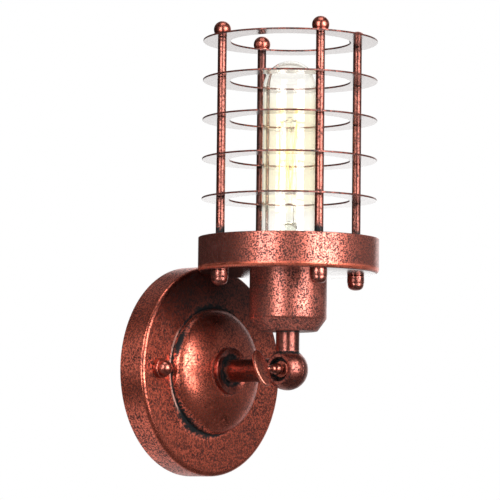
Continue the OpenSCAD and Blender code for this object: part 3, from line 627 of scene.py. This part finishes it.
def knuckle_creases_and_shade(paint, place):
    """Black where the necks meet the ball and in the recess, and painted shade under the cup."""
    x, y, z = (apart(paint, place, axis) for axis in "XYZ")
    y = y + KNUCKLE_OUT
    stem_off, arm_off, aside = ((a * a + b * b) ** 0.5 for a, b in ((x, y), (x, z), (y, z)))
    at_stem = (1 - (stem_off - 6.6).size().step(0.8, 2.4)) * z.step(7, 9) * (1 - z.step(9.7, 10.9))
    at_arm = (1 - (arm_off - ARM_R).size().step(0.8, 2.4)) * y.step(7, 9) * (1 - y.step(10.5, 12.5))
    recess = (1 - aside.step(RECESS_R - 0.05, RECESS_R + 0.15)) * (x * -1).step(
        RECESS_FLOOR - 0.3, RECESS_FLOOR - 0.1)
    # Painted shade on the neck just under the cup.
    under_cup = z.step(CUP_Z - 1.7, CUP_Z)
    return at_stem.most(at_arm).most(recess).most(under_cup)


def stem_shade(paint, place):
    """Painted shade: the neck under the cup is darker than the ball."""
    return apart(paint, place, "Z").step(8, 12, 0, 0.62)


knuckle_copper = antique_copper(
    "knuckle_copper", bright=(0.48, 0.14, 0.10), deep=(0.15, 0.03, 0.021), specks=0.5, gloss=0.30,
    creases=knuckle_creases_and_shade, painted_shade=stem_shade)
arm_stub = neck("arm_stub", NIPPLE_R, WIRE_R, NECK_TO - 0.5, STUB_TO, INWARD)
near_half = joined([near_half, arm_neck, arm_stub])
fitted(near_half, knuckle_copper, "antique_copper", "wall_base", "knuckle_arm_half")

far_half = turned("knuckle_stem_half", [(BALL_R - 0.2, 0)] + spherical(0.25, BALL_HALF - 0.25)
                  + [(FACE_R - 0.1, BALL_HALF), (0, BALL_HALF), (0, HOLLOW_DEPTH),
                     (HOLLOW_R, HOLLOW_DEPTH), (HOLLOW_R, 0)], far_line, closed=True)
stem = cut(neck("stem", STEM_R, WIRE_R, NECK_FROM, CUP_Z, UPWARD), clearance(near_line))
stem_stub = neck("stem_stub", NIPPLE_R, WIRE_R, CUP_Z - 0.5, STEM_TO, UPWARD)
fitted(joined([far_half, stem, stem_stub]), knuckle_copper, "antique_copper", "head", "knuckle_stem_half")

# The thumb screw clamps the two halves. It is turned with a flange and two beads on a thin
# neck, which ends in a flat oval paddle.
SHANK_R, SHANK_TIP, FLANGE_R, FLANGE_TOP = 2.5, -6.2, 4.8, 5.8
WIDE_BEAD, WIDE_BEAD_OUT, SMALL_BEAD, SMALL_BEAD_OUT, SCREW_NECK_R = 3.3, 9.1, 2.5, 12.6, 1.7
PADDLE_OUT, PADDLE_L, PADDLE_W, PADDLE_T, PADDLE_TURN, PADDLE_ROUND = 22.5, 21.5, 11, 2, 21, 0.6
screw = turned("thumb_screw", [(0, SHANK_TIP), (SHANK_R - 0.4, SHANK_TIP), (SHANK_R, SHANK_TIP + 0.4),
                               (SHANK_R, RECESS_FLOOR), (FLANGE_R - 0.2, RECESS_FLOOR),
                               (FLANGE_R, RECESS_FLOOR + 0.2)]
               + arc(FLANGE_R - 0.4, FLANGE_TOP - 0.4, 0.4, 0, 90, 4)
               + [(2.3, FLANGE_TOP), (1.9, FLANGE_TOP + 0.3)]
               + arc(0, WIDE_BEAD_OUT, WIDE_BEAD, -50, 48, 12)
               + arc(0, SMALL_BEAD_OUT, SMALL_BEAD, -42, 44, 10)
               + [(SCREW_NECK_R, 14.4), (SCREW_NECK_R, 16.4), (1.3, 17.6), (0.9, 19), (0, 19)],
               near_line, steps=48)
bpy.ops.object.select_all(action="DESELECT")
bpy.ops.mesh.primitive_cylinder_add(vertices=56, radius=1, depth=PADDLE_T * MM, location=(0, 0, 0))
paddle = bpy.context.object
bpy.ops.object.mode_set(mode="EDIT")
bpy.ops.transform.resize(value=(PADDLE_W / 2 * MM, PADDLE_L / 2 * MM, 1))
bpy.ops.mesh.select_all(action="SELECT")
bpy.ops.object.mode_set(mode="OBJECT")
rounding = paddle.modifiers.new("rounding", "BEVEL")
rounding.width, rounding.segments, rounding.limit_method = PADDLE_ROUND * MM, 3, "ANGLE"
bpy.ops.object.modifier_apply(modifier="rounding")
paddle.matrix_world = (
    Matrix.Translation(KNUCKLE) @ Matrix.Rotation(math.radians(-PADDLE_TURN), 4, "X")
    @ Matrix.Translation((-PADDLE_OUT * MM, 0, 0)) @ Matrix.Rotation(math.radians(90), 4, "X"))
bpy.ops.object.transform_apply(location=True, rotation=True, scale=True)
bpy.ops.object.shade_smooth_by_angle(angle=math.radians(SOFT_CORNER))


def paddle_edge(paint, place):
    """The paddle's edge is rubbed bare, and brightened there as a painted highlight."""
    a = math.radians(PADDLE_TURN)
    across = (apart(paint, place, "X") + PADDLE_OUT) / (PADDLE_W / 2)
    along = (apart(paint, place, "Z") * math.cos(a)
             + (apart(paint, place, "Y") + KNUCKLE_OUT) * math.sin(a)) / (PADDLE_L / 2)
    return (across * across + along * along).step(0.80, 0.92) * (1 - (across - 0.9).step(0, 0.3)) * 0.9


screw_copper = antique_copper(
    "screw_copper", bright=(0.60, 0.17, 0.11), deep=(0.20, 0.04, 0.027), specks=0.6, gloss=0.28,
    grain_size=0.9, worn=paddle_edge, bare_and_highlight_colour=(0.72, 0.22, 0.15))
fitted(joined([screw, paddle]), screw_copper, "antique_copper", "screw", "thumb_screw")

# The lamp cup is spun from sheet, with a bevelled floor, and stands on the knuckle's neck.
# Its copper is bright, peppered with black, and darker on the bevel with painted shade.
HEAD = (KNUCKLE, UPWARD)
CUP_R, CUP_H, BEVEL_H, BEVEL_W, SHEET = 21.75, 32.7, 7.15, 5.05, 1.2
SMUDGE, SMUDGE_R = (-1.5, -93.7, 39), 9
cup_floor_r, bevel_top, PAN_Z = CUP_R - BEVEL_W, CUP_Z + BEVEL_H, CUP_Z + CUP_H
lamp_cup = turned("lamp_cup", [
    (NIPPLE_HOLE, CUP_Z), (cup_floor_r - 0.5, CUP_Z), (cup_floor_r - 0.1, CUP_Z + 0.1),
    (cup_floor_r + 0.25, CUP_Z + 0.45), (CUP_R - 0.35, bevel_top - 0.55), (CUP_R - 0.08, bevel_top - 0.05),
    (CUP_R, bevel_top + 0.5), (CUP_R, PAN_Z), (CUP_R - SHEET, PAN_Z), (CUP_R - SHEET, bevel_top + 0.4),
    (cup_floor_r - 0.64, CUP_Z + SHEET), (NIPPLE_HOLE, CUP_Z + SHEET)], HEAD, steps=128, closed=True)


def cup_bevel(paint, place):
    """Painted shade in black on the bevel and under the pan, where the cup also meets it, and patina in one
    smudge on the front.
    """
    x, y, z = (apart(paint, place, axis) for axis in "XYZ")
    bevel = 1 - z.step(CUP_Z + 5.5, CUP_Z + 7.2)
    under_pan = z.step(PAN_Z - 2.5, PAN_Z)
    dx, dy, dz = x - SMUDGE[0], y - SMUDGE[1], z - SMUDGE[2]
    smudge = (1 - (dx * dx + dy * dy + dz * dz) ** 0.5 / SMUDGE_R).most(0)
    return (bevel * 0.6).most(under_pan * 0.5).most(smudge * 0.75)


peppered = {"bright": (0.64, 0.18, 0.128), "deep": (0.19, 0.044, 0.03), "specks": 1.5, "pepper": 0.82,
            "grain_size": 0.85}
cup_copper = antique_copper("cup_copper", gloss=0.36, creases=cup_bevel, **peppered)
fitted(lamp_cup, cup_copper, "antique_copper", "head", "lamp_cup")

# A zinc plated washer and locknut in the cup hold it on the neck. Two black wires come up
# through the neck to the lampholder.
kept(zinc, "stem_washer", "stem_locknut")
kept(black_pvc, "head_leads")

# The lampholder is moulded from black phenolic, with a ceramic insert, a brass screw shell and
# brass terminals. Its sleeve stands in the cup and comes up through the pan.
SLEEVE_R, SLEEVE_FROM, SLEEVE_TOP, SLEEVE_WALL, SLEEVE_LIP, SHELL_R = 19.5, 36.5, 62, 2.4, 2.2, 14
sleeve_in, lip_under = SLEEVE_R - SLEEVE_WALL, SLEEVE_TOP - SLEEVE_LIP
sleeve = turned("holder_sleeve", [(sleeve_in, SLEEVE_FROM), (SLEEVE_R, SLEEVE_FROM)]
                + arc(SLEEVE_R - 0.6, SLEEVE_TOP - 0.6, 0.6, 0, 90, 4)
                + [(SHELL_R + 0.4, SLEEVE_TOP), (SHELL_R + 0.1, SLEEVE_TOP - 0.3),
                   (SHELL_R + 0.1, lip_under), (sleeve_in, lip_under)], HEAD, closed=True)
fitted(sleeve, phenolic, "black_phenolic", "head", "holder_sleeve")
kept(phenolic, "holder_base")
kept(plain("ceramic", (0.82, 0.80, 0.74), 0.0, 0.25), "holder_insert")
kept(plain("brass", (0.66, 0.47, 0.18), 1.0, 0.3), "screw_shell", "centre_contact", "terminal_screws")

# The pan is a shallow dish spun from sheet. It sits on the cup and carries the cage. Its wall
# is peppered as the cup is, and its underside is smoother and painted a paler grey sheen.
PAN_R, PAN_H, PAN_EDGE, PAN_HOLE = 50.9, 19.6, 2.4, 19.8
PAN_FLOOR = PAN_Z + SHEET
pan = turned("pan", [(PAN_HOLE, PAN_Z)] + arc(PAN_R - PAN_EDGE, PAN_Z + PAN_EDGE, PAN_EDGE, -90, 0)
             + [(PAN_R, PAN_Z + PAN_H - 0.4)] + arc(PAN_R - 0.4, PAN_Z + PAN_H - 0.4, 0.4, 0, 90, 4)
             + [(PAN_R - SHEET + 0.2, PAN_Z + PAN_H), (PAN_R - SHEET, PAN_Z + PAN_H - 0.2)]
             + arc(PAN_R - PAN_EDGE, PAN_Z + PAN_EDGE, PAN_EDGE - SHEET, 0, -90)
             + [(PAN_HOLE, PAN_FLOOR)], HEAD, steps=160, closed=True)


def pan_edge(paint, place):
    """The paint is rubbed bare round the bend at the foot of the wall, and brightened there as a painted
    highlight.
    """
    z = apart(paint, place, "Z")
    return z.step(PAN_Z + 0.3, PAN_Z + 0.9) * (1 - z.step(PAN_Z + 2.2, PAN_Z + 3.6)) * 0.75


def pan_underside(paint, place):
    """The flat underside is smoother than the peppered wall, and painted a paler grey sheen."""
    return 1 - apart(paint, place, "Z").step(PAN_Z + 0.03, PAN_Z + 0.2)


pan_copper = antique_copper("pan_copper", gloss=0.33, worn=pan_edge, bare_and_highlight_colour=(0.85, 0.19, 0.11),
                            under=pan_underside, **peppered)
fitted(pan, pan_copper, "antique_copper", "head", "pan")

# The holder ring is turned, with a flat foot and a short skirt. It screws down on the
# lampholder's sleeve and clamps the pan to the cup.
SLEEVE_GAP, RING_FOOT_R, RING_SKIRT = 0.3, 27, 5
bore, skirt_top = SLEEVE_R + SLEEVE_GAP, PAN_FLOOR + RING_SKIRT
skirt_r = bore + SHEET
holder_ring = turned("holder_ring", [
    (bore, PAN_FLOOR), (RING_FOOT_R, PAN_FLOOR), (RING_FOOT_R, PAN_FLOOR + 0.8),
    (RING_FOOT_R - 0.4, PAN_FLOOR + SHEET), (skirt_r + SHEET, PAN_FLOOR + SHEET),
    (skirt_r + 0.3, PAN_FLOOR + 1.6), (skirt_r, PAN_FLOOR + 2.4), (skirt_r, skirt_top - 0.3),
    (skirt_r - 0.3, skirt_top), (bore, skirt_top)], HEAD, closed=True)
fitted(holder_ring, turned_copper, "antique_copper", "head", "holder_ring")

# Four zinc plated tie rods run through the cage, each in spacer tubes that keep the rings
# apart. The tubes are copper like the rest, and black above the pan and near each ring, where
# the black is partly a painted shadow of the ring. The rear and right tubes are darkened with painted shade.
ROD_COUNT, ROD_CIRCLE, ROD_TURN, ROD_HOLE, SPACER_R = 4, 41.65, 63, 2.1, 2.5
RING_T, RING_Z, RING_PITCH, RING_COUNT = 1, 95.2, 22.45, 5
SMUDGE_AND_SHADOW, SMUDGE_AND_SHADOW_ABOVE, REAR_SHADE, RIGHT_SHADE = 0.62, 0.38, 0.75, 0.35
rod_lines = []
for i in range(ROD_COUNT):
    a = math.radians(ROD_TURN + i * 360 / ROD_COUNT)
    rod_lines.append((KNUCKLE + Vector((math.cos(a), math.sin(a), 0)) * ROD_CIRCLE * MM, HEAD[1]))
ring_feet = [RING_Z + i * RING_PITCH for i in range(RING_COUNT)]


def spacer_ends(paint, place):
    """Black patina above the pan, and at each ring smudges that are also painted shadows of the ring."""
    z = apart(paint, place, "Z")
    gap = (z - ring_feet[-1]).size()
    for foot in ring_feet:
        gap = gap.least((z - foot - RING_T / 2).size())
    smudge_and_shadow = (1 - gap.step(0.5, 4.5)) * z.step(90, 120, SMUDGE_AND_SHADOW, SMUDGE_AND_SHADOW_ABOVE)
    return smudge_and_shadow.most(1 - z.step(76, 82))


def shaded_rods(paint, place):
    """Painted shade: the rear rod is darker than the others, and the right one a little."""
    x, y = apart(paint, place, "X"), apart(paint, place, "Y")
    return (x.step(8, 12) * y.step(-50, -44) * REAR_SHADE).most(x.step(28, 33) * RIGHT_SHADE)


spacer_copper = antique_copper(
    "spacer_copper", bright=(0.42, 0.13, 0.095), deep=(0.12, 0.03, 0.02), specks=0.2, gloss=0.35,
    creases=spacer_ends, painted_shade=shaded_rods)
for i in range(RING_COUNT):
    start = PAN_FLOOR if i == 0 else ring_feet[i - 1] + RING_T
    end = ring_feet[i]
    tube_outline = [(ROD_HOLE, start), (SPACER_R - 0.2, start), (SPACER_R, start + 0.2),
                    (SPACER_R, end - 0.2), (SPACER_R - 0.2, end), (ROD_HOLE, end)]
    tubes = [turned(f"spacers_{i + 1}" if n == 0 else "spacer", tube_outline, line, steps=32, closed=True)
             for n, line in enumerate(rod_lines)]
    fitted(joined(tubes), spacer_copper, "antique_copper", "head", f"spacers_{i + 1}")
kept(zinc, "tie_rods")

# Five flat rings are stamped from 1 mm sheet and threaded on the rods. They are smooth below, with
# a paler painted sheen, and their edges are darkened with black as painted shade.
RING_R, RING_HOLE_R, RING_ROUND = 49.3, 34, 0.15


def ring_undersides(paint, place):
    """The undersides are smoother than the edges and tops, and painted a paler grey sheen."""
    up = (apart(paint, place, "Z") - RING_Z) / RING_PITCH
    up = (up - up.maths("ROUND")) * RING_PITCH
    return 1 - up.step(0.02, 0.12)


def ring_edges(paint, place):
    """The stamped edges are darkened with black as painted shade."""
    r = from_line(paint, place, HEAD)
    inner = 1 - r.step(RING_HOLE_R + 0.05, RING_HOLE_R + 0.25)
    return r.step(RING_R - 0.3, RING_R - 0.1).most(inner) * 0.55


ring_copper = antique_copper(
    "ring_copper", bright=(0.32, 0.085, 0.06), deep=(0.12, 0.026, 0.018), specks=0.4, gloss=0.30,
    creases=ring_edges, under=ring_undersides)
for i, foot in enumerate(ring_feet):
    top = foot + RING_T
    ring = turned(f"ring_{i + 1}", [
        (RING_HOLE_R + RING_ROUND, foot), (RING_R - RING_ROUND, foot), (RING_R, foot + RING_ROUND),
        (RING_R, top - RING_ROUND), (RING_R - RING_ROUND, top), (RING_HOLE_R + RING_ROUND, top),
        (RING_HOLE_R, top - RING_ROUND), (RING_HOLE_R, foot + RING_ROUND)], HEAD, steps=160, closed=True)
    fitted(ring, ring_copper, "antique_copper", "head", f"ring_{i + 1}")

# Round cap nuts close the rods: four like balls on the top ring, and four squat ones under
# the pan. They are turned from brass and plated copper.
NUT_R, NUT_FOOT_R, NUT_FOOT, NUT_H, NUT_DEPTH = 4.85, 4.5, 3.4, 8.25, 5.9
SQUAT_FOOT, SQUAT_R, SQUAT_POWER, SQUAT_STEPS = 4.3, 4.6, 2.6, 14
cage_top = ring_feet[-1] + RING_T
ball_outline = [(0, cage_top + NUT_DEPTH), (ROD_HOLE, cage_top + NUT_DEPTH), (ROD_HOLE, cage_top),
                (NUT_FOOT_R - 0.2, cage_top), (NUT_FOOT_R, cage_top + 0.2), (NUT_FOOT_R, cage_top + 0.9)]
ball_outline += arc(0, cage_top + NUT_FOOT, NUT_R, -28, 90, 16)
top_nuts = [turned("top_cap_nuts" if n == 0 else "top_nut", ball_outline, line, steps=40)
            for n, line in enumerate(rod_lines)]
fitted(joined(top_nuts), turned_copper, "antique_copper", "head", "top_cap_nuts")
squat_outline = [(0, NUT_DEPTH), (ROD_HOLE, NUT_DEPTH), (ROD_HOLE, 0), (NUT_R - 0.3, 0),
                 (NUT_R, 0.3), (NUT_R, SQUAT_FOOT - 0.4), (NUT_R - 0.15, SQUAT_FOOT - 0.1)]
for i in range(SQUAT_STEPS + 1):
    r = SQUAT_R * math.cos(math.radians(90 * i / SQUAT_STEPS))
    dome = (1 - (r / SQUAT_R) ** SQUAT_POWER) ** (1 / SQUAT_POWER)
    squat_outline.append((r, SQUAT_FOOT + (NUT_H - SQUAT_FOOT) * dome))
squat_outline = [(r, h - PAN_Z) for r, h in squat_outline]
bottom_nuts = [turned("bottom_cap_nuts" if n == 0 else "bottom_nut", squat_outline,
                      (line[0], UPWARD * -1), steps=40) for n, line in enumerate(rod_lines)]
nut_copper = antique_copper(
    "nut_copper", bright=(0.62, 0.20, 0.15), deep=(0.22, 0.05, 0.035), specks=0.8, gloss=0.30,
    grain_size=0.9)
fitted(joined(bottom_nuts), nut_copper, "antique_copper", "head", "bottom_cap_nuts")

# The lamp is a clear glass tube with a domed end, blown in one piece and cemented in its cap.
# The filament's glow is painted into the glass as a warm tint, most near its sides, and the glass glows
# faintly.
BULB_R, BULB_TOP, GLASS, GLASS_NECK_R, NECK_IN = 15.35, 174.3, 0.8, 12.7, 6
CAP_TOP, SHOULDER, SHOULDER_STEPS = 65.3, 9, 12
REFRACTION = 1.46
PLAIN_TINT, PAINTED_GLOW_TINT, PAINTED_SIDE_GLOW_TINT, RIM_TINT = (
    (1, 0.995, 0.975), (1, 0.965, 0.84), (0.93, 0.885, 0.73), (0.66, 0.58, 0.36))
PAINTED_GLOW_FROM, PAINTED_GLOW_TO = (80, 105), (140, 165)


def glass_outline(inset):
    """The outer side of the glass, or with an inset its inner side, from the neck to the tip."""
    r, throat = BULB_R - inset, GLASS_NECK_R - inset
    points = [(throat, CAP_TOP - NECK_IN), (throat, CAP_TOP)]
    for i in range(1, SHOULDER_STEPS + 1):
        s = i / SHOULDER_STEPS
        points.append((throat + (r - throat) * (1 - math.cos(math.pi * s)) / 2, CAP_TOP + SHOULDER * s))
    return points + arc(0, BULB_TOP - BULB_R, r, 0, 90, 16)


glass_wall = glass_outline(0) + glass_outline(GLASS)[::-1]
bulb_glass = turned("bulb_glass", glass_wall, HEAD, steps=96, closed=True)
clear_glass = Finish(bpy.data.materials.new("clear_glass"))
glass_place = clear_glass.node("ShaderNodeTexCoord", out="Object")
ripple = clear_glass.node("ShaderNodeTexNoise", None, {
    "Vector": glass_place, "Scale": 60, "Detail": 1}, out="Fac")
glass_bump = clear_glass.node("ShaderNodeBump", None, {
    "Strength": 0.05, "Distance": BUMP, "Height": ripple}, out="Normal")
facing = clear_glass.node("ShaderNodeLayerWeight", None, {"Blend": 0.35}, out="Facing")
glass_z = apart(clear_glass, glass_place, "Z")
painted_glow = glass_z.step(*PAINTED_GLOW_FROM) * (1 - glass_z.step(*PAINTED_GLOW_TO))
painted_side_glow = facing.step(0.12, 0.5) * (0.3 + painted_glow * 0.7)
tint = clear_glass.mix(painted_side_glow, clear_glass.mix(painted_glow, PLAIN_TINT, PAINTED_GLOW_TINT), PAINTED_SIDE_GLOW_TINT)
# Painted glow: a warm tint where the filament lights the glass, and a faint emission.
glass = clear_glass.node("ShaderNodeBsdfPrincipled", None, {
    "Base Color": tint, "Roughness": 0.02, "IOR": REFRACTION, "Transmission Weight": 1.0,
    "Normal": glass_bump, "Emission Color": (1, 0.88, 0.60), "Emission Strength": 0.015})
rim = facing.step(0.62, 0.95, 0, 0.5)
edge = clear_glass.node("ShaderNodeBsdfTransparent", None, {"Color": RIM_TINT})
shadow = clear_glass.node("ShaderNodeLightPath", out="Is Shadow Ray")
clear_glass.node("ShaderNodeOutputMaterial", None, {"Surface": clear_glass.node("ShaderNodeMixShader", None, [
    shadow, clear_glass.node("ShaderNodeMixShader", None, [rim, glass, edge]),
    clear_glass.node("ShaderNodeBsdfTransparent", None, {"Color": (1, 0.97, 0.9)})])})
fitted(bulb_glass, clear_glass.owner, "clear_glass", "bulb", "bulb_glass")

# The lamp's screw cap is pressed from thin plated brass, with a rolled thread, and closed by
# black glass round the contact. It is turned into the screw shell.
CAP_Z, CAP_R = 43.3, 13.1
THREAD_R, THREAD_WAVE, THREAD_PITCH, THREAD_FROM = 12.62, 0.48, 3.63, CAP_Z + 2
THREAD_H, THREAD_STEPS = 15.4, 56
thread = [(11.5, CAP_Z), (12.1, CAP_Z + 1.6)]
for i in range(THREAD_STEPS + 1):
    h = THREAD_H * i / THREAD_STEPS
    thread.append((THREAD_R - THREAD_WAVE * math.cos(2 * math.pi * h / THREAD_PITCH), THREAD_FROM + h))
bulb_cap = turned("bulb_cap", thread + [(CAP_R - 0.2, CAP_Z + 18.4), (CAP_R, CAP_Z + 19.2), (CAP_R, CAP_TOP),
                                        (CAP_R - 0.3, CAP_TOP), (11.8, CAP_Z + 17), (11.2, CAP_Z + 0.3)],
                  HEAD, steps=64, closed=True)
nickel = plain("nickel", (0.62, 0.60, 0.56), 1.0, 0.28)
fitted(bulb_cap, nickel, "nickel", "bulb", "bulb_cap")
kept(nickel, "bulb_contact")
kept(plain("black_glass", (0.015, 0.015, 0.02), 0.0, 0.08), "bulb_insulator")

# Inside, a drawn glass foot and rod carry fine steel hooks, and the glowing filament runs up
# and down between them.
FLARE_R, FLARE_Z, PINCH_R, PINCH_Z, PINCH_H = 11.8, 59.3, 4.35, 83.3, 9
GLASS_ROD_R, BEAD_R, BEAD_Z = 1.2, 1.8, 140.3
pinch_top = PINCH_Z + PINCH_H
mount = turned("bulb_mount", [(0, PINCH_Z), (PINCH_R - GLASS, PINCH_Z - GLASS), (FLARE_R - GLASS, FLARE_Z),
                              (FLARE_R, FLARE_Z), (PINCH_R + 1.6, PINCH_Z - 9), (PINCH_R, PINCH_Z),
                              (PINCH_R, pinch_top - 1)]
               + arc(PINCH_R - 1, pinch_top - 1, 1, 0, 80, 4)
               + [(GLASS_ROD_R, pinch_top + 1.2), (GLASS_ROD_R, BEAD_Z - 2.2)]
               + arc(0, BEAD_Z, BEAD_R, -48, 48, 8)
               + [(GLASS_ROD_R, BEAD_Z + 2), (0, BEAD_Z + 2.4)], HEAD, steps=48)
stem_glass = Finish(bpy.data.materials.new("stem_glass"))
stem_shader = stem_glass.node("ShaderNodeBsdfPrincipled", None, {
    "Base Color": (0.97, 0.98, 0.93), "Roughness": 0.05, "IOR": REFRACTION, "Transmission Weight": 1.0})
stem_shadow = stem_glass.node("ShaderNodeLightPath", out="Is Shadow Ray")
stem_glass.node("ShaderNodeOutputMaterial", None, {"Surface": stem_glass.node("ShaderNodeMixShader", None, [
    stem_shadow, stem_shader, stem_glass.node("ShaderNodeBsdfTransparent", None, {"Color": (1, 1, 0.95)})])})
fitted(mount, stem_glass.owner, "clear_glass", "bulb", "bulb_mount")

COOLER_GLOW, HOTTER_GLOW, GLOW = (1.0, 0.50, 0.08), (1.0, 0.66, 0.14), 1.2
glowing = Finish(bpy.data.materials.new("filament_wire"))
glow_place = glowing.node("ShaderNodeTexCoord", out="Object")
coil = glowing.node("ShaderNodeTexNoise", None, {"Vector": glow_place, "Scale": 800, "Detail": 1}, out="Fac")
glowing.node("ShaderNodeOutputMaterial", None, {"Surface": glowing.node("ShaderNodeBsdfPrincipled", None, {
    "Base Color": (0.55, 0.40, 0.2), "Roughness": 0.5, "Emission Strength": GLOW,
    "Emission Color": glowing.mix(coil, COOLER_GLOW, HOTTER_GLOW)})})
kept(glowing.owner, "filament")
kept(plain("hook_steel", (0.45, 0.44, 0.42), 1.0, 0.35), "filament_hooks")
